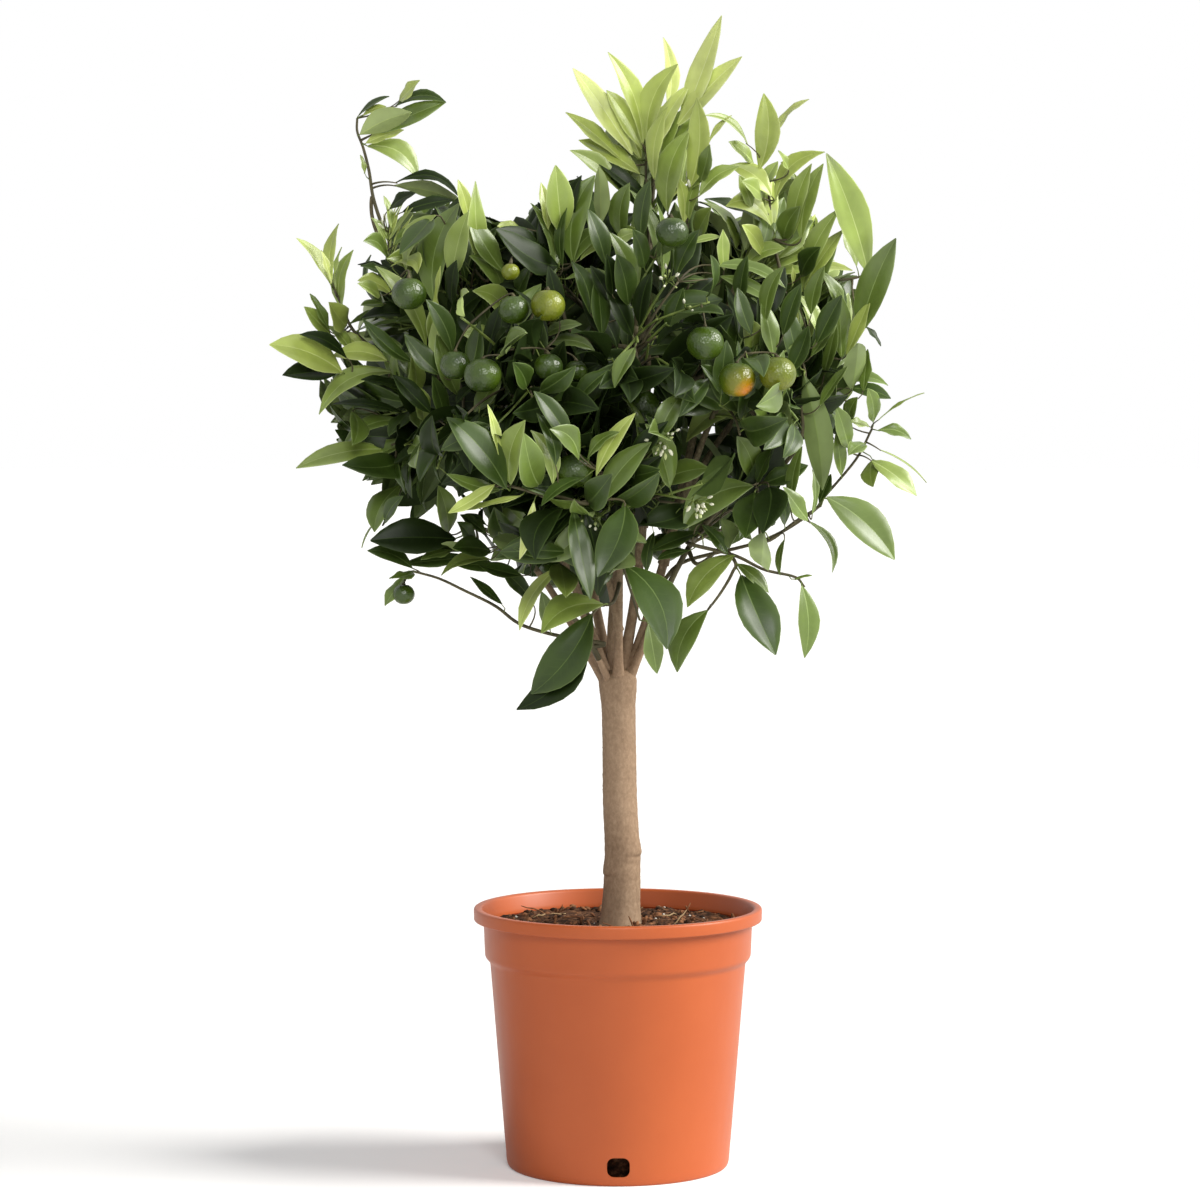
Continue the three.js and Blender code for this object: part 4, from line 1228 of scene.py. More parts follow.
# name: depth, the stem, and the leaves on it
sprayPlan = {
    "sprig": (
        -14,
        [(-153, 631), (-161, 648), (-168, 669), (-171, 688), (-175, 704), (-179, 715), (-179, 724)],
        [
            (-178, 726, -157, 739, 5, 4, 0.6, 0.1), (-175, 726, -159, 732, 5, 1, 0.8, 0.05),
            (-177, 713, -142, 728, 17, 2, -0.85, 0.03), (-173, 707, -147, 716, 10, 1),
            (-153, 732, -118, 735, 8, 4, 0.85, 0.12), (-166, 714, -118, 735, 14, 3, 0.85, 0.01),
            (-150, 736, -136, 750, 10, 1, 0.8, -0.1), (-172, 705, -137, 682, 17, 2, 0.88, 0.15),
            (-154, 678, -107, 666, 10, 2, -0.75), (-153, 680, -109, 670, 8, 5, 0.8, 0.17),
            (-174, 686, -177, 699, 3, 2, 0.6),
        ],
    ),
    "needles": (
        -40,
        [(-147, 597), (-153, 619), (-157, 631), (-158, 644)],
        [
            (-157, 638, -170, 656, 5, 2, 0.6), (-156, 649, -161, 671, 5, 2, 0.7), (-157, 662, -139, 673, 9, 5),
            (-148, 660, -113, 668, 10, 5, 0.85, 0.04), (-158, 647, -129, 658, 11, 3, 0.8, -0.05),
            (-157, 634, -148, 666, 2, 1, 0.7), (-155, 634, -144, 664, 2, 1, 0.7), (-154, 633, -141, 658, 2, 1, 0.7),
            (-158, 631, -169, 656, 3, 2, 0.7), (-157, 638, -153, 663, 2, 1, 0.7),
            (-136, 616, -159, 628, 14, 2, 0.85, -0.15), (-153, 616, -179, 624, 7, 5, 0.7),
            (-155, 603, -179, 613, 10, 1, 0.7, -0.1), (-161, 597, -177, 596, 7, 3, 0.7), (-103, 655, -110, 681, 9, 1),
            (-157, 645, -150, 664, 3, 1, 0.6), (-156, 642, -141, 663, 3, 2, 0.6),
            (-154, 637, -133, 651, 8, 3, 0.7, 0.05), (-158, 626, -175, 640, 9, 3, 0.6, -0.15),
            (-156, 623, -138, 618, 11, 1, 0.8, 0.3), (-154, 618, -177, 623, 8, 4, 0.5, 0.1),
        ],
    ),
    "leftShoot": (
        -8,
        [(-150, 548), (-169, 566), (-183, 580), (-190, 596), (-196, 609), (-198, 619)],
        [
            (-197, 609, -221, 642, 9, 1, 0.75, -0.15), (-197, 611, -204, 634, 4, 0, 0.7),
            (-197, 611, -192, 652, 10, 1, 0.8, 0.08), (-194, 607, -190, 636, 3, 2, 0.4),
            (-190, 593, -182, 634, 12, 2, 0.8, 0.1), (-187, 582, -199, 598, 15, 1, 0.8, 0.1),
            (-198, 576, -216, 595, 10, 2, 0.7, 0.05), (-199, 579, -212, 604, 6, 3, 0.6),
            (-183, 563, -200, 582, 8, 2, 0.7), (-173, 565, -191, 579, 8, 1),
        ],
    ),
    "leftEdge": (
        -30,
        [(-133, 532), (-150, 539), (-169, 545), (-190, 548)],
        [
            (-190, 550, -240, 569, 24, 1, 0.9, -0.11), (-192, 552, -231, 548, 16, 5, 0.75, 0.02),
            (-187, 560, -219, 576, 10, 5, 0.7, -0.1), (-159, 558, -197, 561, 15, 1, 0.85, -0.1),
            (-154, 550, -206, 521, 14, 2, 0.8, -0.16), (-148, 522, -197, 528, 8, 5, 0.5, -0.04),
            (-183, 523, -183, 500, 12, 3, 0.7, 0.1), (-147, 539, -177, 545, 8, 5, 0.6),
        ],
    ),
    "leftLow": (
        -24,
        [(-115, 501), (-133, 508), (-144, 509), (-153, 494), (-148, 472)],
        [
            (-147, 516, -190, 497, 12, 3, 0.75, -0.14), (-158, 497, -222, 484, 14, 2, 0.8, 0.02),
            (-151, 490, -190, 486, 21, 4, 0.8, 0.16), (-149, 473, -168, 440, 17, 3, 0.8, -0.1),
            (-164, 451, -177, 429, 2, 3, 0.3), (-142, 526, -158, 506, 10, 4, 0.6),
        ],
    ),
    "lowBranch": (
        -30,
        [(-10, 363), (-40, 368), (-67, 376), (-85, 389), (-107, 400), (-124, 408), (-142, 413)],
        [
            (-112, 435, -171, 434, 25, 5, 0.88, 0.04), (-117, 440, -124, 472, 15, 3, 0.8, 0.05),
            (-161, 446, -148, 465, 10, 4), (-102, 423, -148, 418, 10, 4), (-99, 431, -111, 447, 10, 4),
            (-91, 445, -107, 452, 6, 4), (-88, 427, -114, 429, 14, 4), (-91, 439, -109, 452, 8, 4),
            (-102, 428, -136, 427, 8, 4), (-142, 415, -173, 427, 10, 4, 0.65, -0.05),
            (-147, 409, -161, 389, 8, 3, 0.7, 0.1), (-142, 413, -158, 408, 7, 3, 0.6, 0.2),
            (-88, 421, -122, 410, 9, 2, 0.7, -0.1), (-81, 414, -114, 418, 10, 4), (-59, 391, -81, 414, 11, 4),
            (-67, 410, -96, 417, 11, 4, 0.8, 0.05), (-80, 390, -102, 409, 7, 4, 0.7, 0.1),
            (-47, 372, -53, 399, 11, 3), (-114, 427, -136, 421, 7, 3, 0.6), (-102, 424, -122, 432, 7, 3, -0.6),
        ],
    ),
    "leftTuft": (
        -70,
        [(-112, 515), (-122, 539), (-125, 563), (-125, 580)],
        [
            (-132, 568, -167, 623, 13, 2, 0.85, -0.05), (-127, 565, -128, 595, 10, 2),
            (-124, 554, -121, 592, 11, 2, 0.8, 0.06), (-125, 582, -122, 623, 5, 1, 0.6),
            (-142, 557, -176, 587, 11, 4, 0.8, 0.06), (-139, 531, -142, 564, 12, 2, 0.8, 0.05),
            (-134, 517, -137, 540, 11, 2), (-164, 603, -179, 611, 9, 2, 0.7),
            (-126, 597, -109, 666, 22, 3, 0.85, 0.12), (-114, 614, -103, 660, 18, 2, 0.85),
            (-89, 615, -98, 681, 12, 2, 0.75, 0.12), (-102, 651, -110, 682, 8, 1, 0.7),
            (-80, 603, -102, 630, 16, 3, 0.85, -0.12), (-76, 582, -100, 606, 17, 2, 0.85, -0.14),
            (-83, 565, -107, 576, 14, 2, 0.8, -0.1), (-128, 656, -150, 631, 16, 4, 0.8, 0.1),
            (-79, 619, -103, 661, 16, 3, 0.85, 0.1), (-114, 597, -111, 627, 11, 5, 0.7),
        ],
    ),
    "upperMiddle": (
        -70,
        [(-30, 576), (-40, 604), (-43, 623), (-43, 642)],
        [
            (-38, 644, -43, 692, 19, 2, 0.85, 0.05), (-48, 648, -53, 680, 8, 1),
            (-45, 614, -60, 666, 10, 3, 0.7, -0.14), (-31, 655, -25, 685, 10, 5, 0.8, 0.1),
            (-31, 626, -16, 685, 21, 3, 0.85, 0.05), (-26, 627, -6, 638, 7, 2, 0.8, 0.12),
            (-12, 651, -13, 691, 11, 2, -0.7), (-38, 623, -35, 664, 8, 4, 0.7, 0.05),
            (3, 641, 8, 680, 16, 3, 0.85, 0.08), (-32, 623, -7, 649, 12, 3, 0.8, 0.16),
            (11, 600, -6, 646, 16, 3, 0.85, -0.06), (-4, 637, 15, 646, 8, 2, 0.8, 0.1),
            (-36, 614, 1, 612, 7, 3, 0.6, 0.1), (-41, 623, -84, 648, 22, 5, 0.8, 0.1),
            (-52, 574, -25, 583, 8, 3, 0.8, 0.06), (-50, 569, -16, 565, 9, 3, 0.8, 0.1),
            (-70, 603, -60, 623, 10, 4, 0.8, -0.1), (-50, 630, -84, 648, 18, 5, 0.85), (-67, 649, -83, 650, 8, 1),
        ],
    ),
    "flush": (
        -16,
        [(15, 576), (19, 611), (21, 642), (20, 669), (19, 690), (21, 707)],
        [
            (10, 699, -31, 758, 16, 0, 0.85, -0.02), (17, 706, -7, 769, 14, 1, 0.85, -0.03),
            (16, 703, -8, 743, 14, 1, 0.8, 0.02), (16, 695, -6, 735, 12, 1, 0.8, -0.03),
            (18, 707, 17, 744, 5, 4, 0.5), (20, 707, 41, 761, 18, 1, 0.85, 0.12),
            (33, 726, 31, 779, 10, 0, 0.75, -0.04), (23, 700, 49, 747, 14, 0), (42, 718, 71, 794, 16, 0, 0.85, -0.08),
            (40, 718, 85, 766, 16, 0, 0.8, 0.05), (15, 686, -27, 709, 14, 1, 0.8, -0.02),
            (21, 669, -18, 697, 12, 5, 0.7, 0.08), (3, 673, -33, 702, 12, 2, 0.8, -0.06),
            (3, 695, -36, 728, 10, 1, 0.7, 0.02), (30, 656, 29, 691, 11, 4, 0.8, 0.05),
            (15, 662, -12, 695, 11, 4, 0.8, 0.05),
        ],
    ),
    "flushRight": (
        -34,
        [(49, 576), (48, 614), (47, 638), (48, 656), (49, 673)],
        [
            (49, 676, 54, 738, 16, 1, 0.85, -0.1), (56, 680, 63, 706, 10, 3, 0.7, -0.1),
            (34, 660, 49, 716, 19, 2, 0.85, 0.05), (25, 682, 34, 732, 12, 1, 0.8, 0.05),
            (45, 652, 41, 684, 10, 1, 0.8, -0.04), (49, 655, 58, 686, 12, 2, 0.8, 0.1),
            (56, 671, 83, 691, 11, 2, 0.8, 0.08), (54, 644, 64, 663, 14, 2), (62, 707, 78, 726, 4, 0, 0.6, 0.1),
            (89, 706, 59, 726, 5, 2, 0.6, -0.2), (28, 623, 8, 675, 11, 3, 0.8, -0.08),
            (22, 597, 27, 638, 10, 4, 0.8, 0.05),
        ],
    ),
    "rightTop": (
        -22,
        [(118, 583), (113, 614), (107, 638), (105, 656), (103, 676), (98, 690)],
        [
            (97, 689, 100, 741, 17, 1, 0.88, -0.1), (107, 711, 131, 737, 5, 0, 0.6, 0.1),
            (93, 693, 76, 708, 9, 2, 0.7), (105, 671, 77, 692, 14, 1, 0.85, -0.12), (99, 670, 85, 681, 12, 2),
            (92, 663, 83, 685, 10, 2), (105, 651, 74, 664, 15, 1, 0.85, -0.26), (99, 653, 60, 669, 6, 4, 0.6, -0.1),
            (108, 668, 142, 701, 12, 1, 0.8, 0.21), (117, 689, 110, 702, 6, 2, 0.7),
            (120, 644, 133, 693, 14, 2, 0.85, 0.05), (126, 641, 141, 693, 14, 2, 0.8, 0.04),
            (114, 640, 125, 664, 14, 3, 0.85, 0.08), (87, 623, 115, 635, 12, 2, 0.8, 0.08),
            (100, 630, 85, 651, 13, 1, 0.8, -0.04), (120, 609, 120, 623, 3, 1, 0.6),
        ],
    ),
    "rightSide": (
        -24,
        [(133, 566), (132, 594), (140, 611), (159, 614), (168, 616)],
        [
            (172, 618, 143, 700, 23, 2, 0.9, 0.03), (164, 623, 153, 651, 10, 2, 0.7),
            (129, 597, 151, 644, 16, 3, 0.85, 0.03), (127, 608, 153, 663, 14, 2, 0.85, 0.02),
            (126, 605, 155, 648, 12, 1, 0.8, 0.03), (126, 616, 139, 636, 14, 4, 0.85, 0.05),
            (166, 576, 191, 642, 21, 3, 0.9, 0.06), (155, 593, 140, 619, 10, 3, 0.8, -0.03),
            (154, 560, 151, 607, 16, 3, 0.85, 0.02), (157, 561, 174, 602, 9, 1, 0.7, -0.04),
            (170, 582, 181, 568, 4, 5, 0.6), (169, 537, 172, 566, 10, 3), (161, 538, 165, 570, 18, 3, -0.85, -0.05),
            (142, 548, 151, 585, 10, 3),
        ],
    ),
    "rightMiddle": (
        -62,
        [(125, 501), (127, 528), (129, 548), (125, 563)],
        [
            (90, 561, 86, 588, 14, 2, 0.85, -0.1), (120, 568, 121, 603, 12, 1, 0.8, 0.06),
            (124, 603, 136, 579, 10, 2, 0.8, 0.12), (103, 561, 103, 588, 13, 4, 0.85),
            (125, 554, 115, 596, 16, 4, 0.85, 0.04), (128, 548, 141, 469, 21, 3, -0.9, -0.03),
            (73, 620, 72, 648, 10, 2, 0.8, 0.04), (67, 623, 115, 608, 10, 3, 0.75, 0.08),
            (70, 616, 107, 598, 10, 3, 0.8, 0.05), (49, 638, 71, 643, 5, 2, 0.7, 0.04), (44, 629, 54, 639, 8, 3),
            (0, 636, 15, 647, 10, 2, 0.8, 0.1), (25, 596, 72, 600, 19, 4, 0.85, -0.08), (7, 563, 4, 603, 16, 4, 0.85),
            (60, 614, 34, 613, 7, 4), (8, 562, 53, 570, 13, 4, 0.85, 0.05), (133, 561, 151, 585, 8, 3),
            (139, 527, 158, 554, 7, 3, 0.6),
        ],
    ),
    "farRight": (
        -10,
        [(32, 407), (47, 420), (100, 434), (133, 453), (143, 465), (164, 490), (175, 511)],
        [
            (156, 543, 186, 541, 9, 3, 0.7, 0.14), (159, 539, 188, 532, 10, 4, 0.8, 0.05),
            (176, 516, 172, 539, 12, 3), (179, 517, 211, 536, 2, 2, 0.3), (179, 510, 202, 504, 8, 3, 0.8, 0.16),
            (173, 513, 159, 516, 6, 2, 0.7), (180, 497, 213, 474, 3, 2, 0.3, 0.12),
            (175, 489, 206, 465, 15, 2, 0.85, -0.04), (176, 490, 176, 471, 12, 2), (170, 501, 159, 493, 10, 3),
            (159, 498, 150, 527, 14, 3), (159, 516, 165, 533, 10, 3), (154, 479, 150, 508, 10, 3),
            (139, 460, 147, 480, 8, 4),
        ],
    ),
    "lowRight": (
        -52,
        [(56, 418), (77, 436), (95, 460), (96, 473)],
        [
            (91, 527, 47, 502, 17, 2, 0.85, -0.1), (93, 472, 45, 442, 25, 3, 0.9, -0.1),
            (94, 467, 88, 436, 25, 4, 0.9, 0.08), (94, 475, 82, 506, 17, 3, 0.9, -0.08),
            (96, 474, 107, 499, 10, 4, 0.7, -0.05), (99, 473, 131, 486, 14, 4, 0.85, -0.03),
            (115, 445, 109, 468, 11, 4), (134, 452, 134, 483, 5, 3), (131, 448, 114, 471, 12, 3),
            (104, 471, 100, 439, 23, 5, 0.9, 0.1), (27, 474, 63, 484, 16, 3, 0.85, 0.06),
            (49, 457, 15, 445, 21, 5, 0.85, 0.1), (71, 449, 77, 429, 12, 3, -0.8),
            (58, 445, 76, 424, 9, 4, 0.8, 0.05), (101, 440, 99, 417, 19, 3, -0.85), (25, 440, 20, 412, 8, 4),
            (120, 460, 127, 499, 9, 3),
        ],
    ),
    "hanging": (
        -56,
        [(49, 432), (80, 424), (101, 414), (122, 409), (129, 402)],
        [
            (85, 410, 109, 355, 27, 4, 0.9, -0.01), (127, 403, 129, 353, 16, 3, 0.85, 0.09),
            (80, 424, 48, 388, 18, 2, 0.85, -0.1), (56, 440, 23, 427, 10, 4), (49, 427, 27, 421, 7, 4, 0.7),
            (122, 407, 134, 410, 3, 3, 0.4), (82, 418, 104, 398, 10, 3), (115, 435, 112, 410, 5, 3, 0.7),
        ],
    ),
    "hangingRight": (
        -48,
        [(100, 434), (125, 449), (140, 458)],
        [
            (144, 464, 191, 421, 26, 3, 0.9, 0.1), (128, 449, 148, 412, 6, 3, 0.7, 0.27),
        ],
    ),
    "lowTwig": (
        -58,
        [(80, 421), (79, 412), (71, 398), (62, 386)],
        [
            (62, 386, 41, 343, 19, 3, 0.85, -0.12),
        ],
    ),
    "underLeft": (
        -74,
        [(-4, 391), (-15, 390), (-23, 387)],
        [
            (-18, 383, -60, 328, 29, 4, 0.9, 0.15), (-21, 373, -70, 317, 25, 5, 0.9, 0.21),
            (-10, 390, -53, 370, 21, 2, 0.85, -0.12), (-40, 416, -68, 372, 10, 1, 0.8, -0.1),
            (-40, 418, -36, 395, 18, 2, 0.85),
        ],
    ),
    "underRight": (
        -84,
        [(-4, 418), (0, 429), (3, 418), (15, 379)],
        [
            (5, 417, 34, 359, 29, 4, 0.9, 0.1), (21, 377, 27, 342, 13, 3, 0.85, -0.05),
        ],
    ),
    "frontHang": (
        -148,
        [(-12, 480), (-19, 463), (-36, 460), (-54, 465)],
        [
            (5, 458, -14, 409, 25, 4, 0.9, 0.1), (-31, 456, -19, 393, 16, 4, 0.8, -0.05),
            (-23, 454, -14, 396, 16, 5, 0.85, 0.06), (-38, 457, -57, 421, 22, 5, 0.9, -0.1),
            (-58, 461, -68, 421, 9, 0, 0.85, 0.05), (-21, 460, -4, 480, 19, 4, 0.9, -0.05),
            (-12, 460, 23, 502, 19, 3, 0.9, 0.08), (-15, 479, 12, 522, 11, 1, 0.85, 0.04),
            (-21, 490, 1, 509, 8, 3, 0.8, 0.1),
        ],
    ),
    "frontLow": (
        -160,
        [(-19, 460), (-40, 464), (-57, 467), (-76, 472), (-88, 471)],
        [
            (-81, 489, -90, 528, 6, 1, 0.8, -0.04), (-74, 473, -64, 517, 19, 2, 0.85, 0.1),
            (-54, 472, -65, 508, 20, 3, 0.85, 0.05), (-45, 473, -60, 510, 12, 2, 0.85, -0.08),
            (-43, 486, -56, 522, 12, 4, 0.85, -0.06), (-33, 501, -58, 537, 14, 4, 0.85, -0.06),
            (-27, 490, -47, 511, 14, 3, 0.85, -0.12), (-77, 470, -118, 519, 24, 4, 0.9, -0.08),
            (-81, 469, -118, 480, 10, 3, 0.8, 0.06), (-85, 473, -117, 453, 9, 1, 0.8, 0.06),
            (-67, 465, -112, 454, 5, 1, 0.6, 0.06),
        ],
    ),
    "leftFront": (
        -96,
        [(-102, 508), (-107, 534), (-114, 559)],
        [
            (-110, 534, -125, 576, 15, 3, 0.85, 0.06), (-102, 548, -95, 585, 14, 4, 0.85, -0.05),
            (-122, 548, -147, 576, 14, 4, 0.8, 0.1), (-114, 563, -132, 600, 13, 4, 0.8, -0.06),
            (-91, 559, -80, 597, 12, 5), (-129, 522, -155, 548, 13, 5, 0.8, 0.06),
            (-99, 522, -81, 552, 14, 3, 0.85, -0.05), (-118, 515, -128, 548, 12, 4, 0.8, 0.05),
        ],
    ),
    "topFront": (
        -92,
        [(15, 542), (12, 566), (7, 589)],
        [
            (-11, 575, -15, 616, 14, 4, 0.85, 0.05), (-19, 590, -32, 626, 14, 4, 0.85, -0.05),
            (15, 582, 23, 619, 12, 5, 0.8, 0.05), (34, 576, 45, 608, 13, 4, 0.8, -0.05),
            (-40, 585, -48, 623, 12, 5, 0.85, 0.05), (-4, 597, -19, 623, 11, 5), (40, 616, 56, 648, 12, 4, 0.8, 0.05),
            (16, 641, 22, 682, 12, 4, 0.85), (7, 596, -1, 631, 16, 4), (10, 575, -8, 609, 15, 5),
            (18, 622, 10, 648, 14, 4), (-4, 603, -8, 631, 12, 5), (-8, 623, -21, 662, 14, 4, 0.8, 0.05),
        ],
    ),
    "rightFront": (
        -78,
        [(104, 515), (106, 539), (109, 563)],
        [
            (107, 561, 99, 600, 14, 3, 0.85, 0.06), (114, 576, 126, 611, 13, 4, 0.85, -0.05),
            (92, 576, 82, 608, 12, 4, 0.85, 0.05), (102, 585, 114, 623, 12, 3, 0.8, 0.05),
            (137, 570, 154, 603, 14, 4, 0.85, -0.05), (133, 590, 142, 623, 12, 3, 0.8, 0.05),
            (84, 597, 89, 630, 11, 4), (117, 548, 131, 582, 13, 4, 0.8, -0.05),
        ],
    ),
}


def hidesSpray(points):
    # whether any of the points lies in front of a leaf of the sprays
    if not sprayBlades:
        return False
    foot, tip, half, depth = (np.array(column) for column in zip(*sprayBlades))
    flat = fromFront(points)
    run = tip - foot
    length = np.linalg.norm(run, axis=1)
    along = run / length[:, None]
    offset = flat[:, None, :] - foot
    forward = (offset * along).sum(-1) / length
    aside = np.abs(offset[..., 0] * along[:, 1] - offset[..., 1] * along[:, 0])
    covered = (forward > 0.04) & (forward < 0.97) & (aside < half * 0.85) & (points[:, 1:2] < depth + 4)
    return covered.any()


def sprayLeaf(spec, depth, keys, shift):
    s = sprayShape
    footX, footZ, tipX, tipZ, width, tint, show, bow = spec
    length = math.hypot(tipX - footX, tipZ - footZ)
    width = s["widthShare"] * width / max(abs(show), s["leastShow"])
    start = depth + shift + s["drift"] * (chance(*keys, 1) - 0.5)
    lean = length * blend(*s["lean"], chance(*keys, 2))
    if width > s["broad"] * length:
        lean = -math.sqrt(max((width / s["broadest"]) ** 2 - length**2, 0))
    base, tip = seenAt(footX, footZ, start), seenAt(tipX, tipZ, start + lean)
    axis = unit(tip - base)
    towards = squareTo(np.array([0, -1.0, 0]), axis)
    side = np.cross(axis, towards)
    side = side * (1 if side[2] >= 0 else -1)
    face = unit(towards * show + side * math.sqrt(max(1 - show * show, 0)))
    leaf = {"base": base, "axis": axis, "face": face, "length": np.linalg.norm(tip - base), "width": width}
    return {**leaf, "tint": tint, "bow": bow * (1 if show >= 0 else -1), "keys": keys}


def growSpray(number, name):
    depth, stem, specs = sprayPlan[name]
    ends = [seenAt(x, z, depth + 8) for x, z in stem]
    carrier = carriers[np.linalg.norm(carriers - ends[0], axis=1).argmin()]
    points = [carrier] + [end for end in ends if np.linalg.norm(end - carrier) > 4]
    count = 6 * len(points)
    line = np.array([smoothAt(points, i / count) for i in range(count + 1)])
    radii = [blend(*growth["sprayRadius"], math.sqrt(i / count)) for i in range(count + 1)]
    addTube(wood["twigs"], line, radii, 8)
    woodPoints.extend((point, None) for point in line)
    for j, spec in enumerate(specs):
        spec = spec + usualLeaf[len(spec) :]
        keys = (900 + number, j, 3)
        for shift in growth["sprayShifts"]:
            leaf = sprayLeaf(spec, depth, keys, shift)
            shape = shapeOf(leaf)
            if not crossesLeaves(*shape) and not touchesLimb(bladeFlat(*shape)[:4], 1):
                break
        leaf["root"] = line[np.linalg.norm(line - leaf["base"], axis=1).argmin()]
        keepLeaf(leaf)
        tip = leaf["base"] + leaf["axis"] * leaf["length"]
        flat = fromFront(np.array([leaf["base"], tip]))
        sprayBlades.append((flat[0], flat[1], spec[4] / 2, (leaf["base"][1] + tip[1]) / 2))


def shootTips(mass):
    number, size, outward = mass["number"], mass["size"], mass["outward"]
    stemAim = cubicAlong(mass["path"], 1)
    aside = anySideOf(outward)
    tips = []
    for k in range(round(size / growth["shootEvery"])):
        forward = 1 - 1.55 * ((0.5 + k * 0.7548776662466927 + chance(number, 1)) % 1)
        turn = fullTurn * ((0.5 + k * 0.5698402909980532 + chance(number, 2)) % 1)
        depth = blend(0.46, 0.84, (k * 0.6180339887 + chance(number, 3)) % 1)
        direction = outward * forward + turned(aside, outward, turn) * math.sqrt(1 - forward * forward)
        reach = 8
        while inSpace(number, middles[number] + direction * (reach + 4))[0]:
            reach += 4
        tips.append(middles[number] + direction * reach * depth)
    return sorted(tips, key=lambda tip: float(tip @ stemAim))


def tintOf(mass, tip, keys):
    # how pale a spray is, 0 the palest and 5 the darkest, and below 2 it counts as young: paler higher up and for the
    # top, upper right and right masses; darker deep inside the crown and in a hollow at its middle, which is painted
    # shade
    height = (tip[2] - crownHeart[2]) / 220
    outer = np.linalg.norm((tip - crownHeart) / np.array([215, 190, 215]))
    lighter = {"top": 1.6, "upper_right": 2.0, "right": 0.8}.get(mass["name"], 0)
    hollowShade = 1.3 * math.exp(-(((tip[0] + 35) / 75) ** 2) - ((tip[2] - 552) / 55) ** 2)
    score = 3.6 - 1.5 * height + 4.8 * (0.8 - outer) - lighter + hollowShade + 2.4 * (chance(*keys, 12) - 0.5)
    return int(between(round(score), 0, 5))


def growShoot(mass, start, along, tip, keys, radius, sideways):
    number = mass["number"]
    aim = tip - start
    span = np.linalg.norm(aim)
    if span < growth["leastShoot"]:
        return False
    curve = (start, start + unit(blend(unit(aim), along, 0.3)) * span * 0.5, tip)
    shares = np.linspace(0, 1, 8)
    line = np.array([quadraticAt(curve, s) for s in shares])
    if clearOfNeighbours(number, line[1:]).min() < 0.5 or leavesOutline(line[2:]):
        return False
    if touchesLimb(line[2:], radius + 0.6) or hitsFruit(line):
        return False
    tint = tintOf(mass, tip, keys)
    reached = 0
    count = max(3, round(span / growth["leafEvery"]) + 2)
    for j in range(count):
        share = min(blend(0.35 if sideways else 0.3, 1.08, (j + 0.5) / count), 0.99)
        place = quadraticAt(curve, share)
        forward = unit(quadraticAt(curve, min(share + 0.02, 1)) - quadraticAt(curve, share - 0.02))
        leaf = leafThatFits(mass, place, forward, share, (*keys, j), tint < 2)
        if leaf:
            keepLeaf({**leaf, "tint": tint, "keys": (*keys, j)})
            reached = share
    if not sideways and span >= growth["sideFrom"]:
        for branch, at in enumerate(growth["sidePlaces"]):
            if growSideShoot(mass, curve, at, span, keys, branch):
                reached = max(reached, at)
    if reached == 0:
        return False
    # the shoot ends where the last thing on it does
    line = np.array([quadraticAt(curve, s) for s in np.linspace(0, min(reached + 0.04, 1), 8)])
    pile = wood["shoots"] if tint < 4 or sideways else wood["twigs"]
    addTube(pile, line, [blend(radius, growth["shootTip"], s) for s in shares], 6)
    woodPoints.extend((point, number) for point in line[1:])
    return True


def growSideShoot(mass, curve, at, span, keys, branch):
    place = quadraticAt(curve, at)
    forward = unit(quadraticAt(curve, at + 0.02) - quadraticAt(curve, at - 0.02))
    side = turned(anySideOf(forward), forward, fullTurn * chance(*keys, 20 + branch))
    direction = unit(forward * 0.75 + side * 0.8 + unit(place - crownHeart) * 0.35)
    tip = place + direction * span * blend(0.42, 0.62, chance(*keys, 30 + branch))
    ownKeys = (*keys[:2], 100 + 10 * keys[1] + branch)
    return growShoot(mass, place, forward, tip, ownKeys, growth["sideRadius"], True)


def growMass(mass):
    number, path, entry = mass["number"], mass["path"], mass["entry"]
    if mass["name"] == sprigName:
        return
    line = np.array([cubicAt(path, s) for s in np.linspace(entry, 1, 10)])
    line[0] -= cubicAlong(path, entry) * 1.5
    radii = [blend(limbSettings["tipRadius"] * 1.02, growth["stemTip"], i / 9) for i in range(10)]
    addTube(wood["twigs"], line, radii, 9)
    woodPoints.extend((point, number) for point in line)
    tips = shootTips(mass)
    for k, tip in enumerate(tips):
        at = blend(entry, 1, blend(0.12, 0.99, (k + 0.5) / len(tips)))
        growShoot(mass, cubicAt(path, at), cubicAlong(path, at), tip, (number, k), growth["shootRadius"], False)


for number, sprayName in enumerate(sprayPlan):
    growSpray(number, sprayName)
print(len(leaves), "leaves stand in sprays")

for massName in massNames:
    before = len(leaves)
    growMass(masses[massName])
    print(massName, "grows", len(leaves) - before, "leaves")


# leaf meshes, each tint in pieces of its own

# the colours of a leaf's top, underside and rib as a screen shows them, how rough its top is and how much it shines;
# the rib colour also paints the pale leaf edges, a painted highlight
leafTints = {
    "pale": ((190, 201, 116), (196, 206, 138), (206, 214, 150), 0.4, 0.6),
    "young": ((154, 169, 78), (162, 176, 106), (178, 190, 112), 0.38, 0.65),
    "bright": ((120, 138, 58), (136, 151, 92), (148, 163, 94), 0.36, 0.65),
    "mid": ((84, 103, 37), (110, 126, 72), (114, 132, 70), 0.34, 0.6),
    "deep": ((46, 64, 18), (74, 92, 42), (78, 96, 44), 0.36, 0.36),
    # dark is near black: painted shade for leaves deep inside the crown
    "dark": ((22, 34, 7), (36, 52, 16), (48, 64, 24), 0.42, 0.18),
}
veinSettings = {
    "slant": -0.16,
    "often": 66,
    "from": 0.72,
    "paler": 0.09,
    # the next two make the leaf paler towards its rim: a painted highlight
    "highlightRimFrom": 0.35,
    "highlightRimPaler": 0.34,
    "depth": (-0.12, 0.15),  # in millimetres, on the top and on the underside
}
twigFinishes = {
    "twig bark": ([(0.3, (58, 54, 36)), (0.7, (96, 90, 62))], 0.7),
    "green shoot": ([(0.3, (72, 88, 36)), (0.7, (122, 138, 66))], 0.5),
    "leaf stalk": ([(0.3, (72, 88, 36)), (0.7, (122, 138, 66))], 0.5),
}


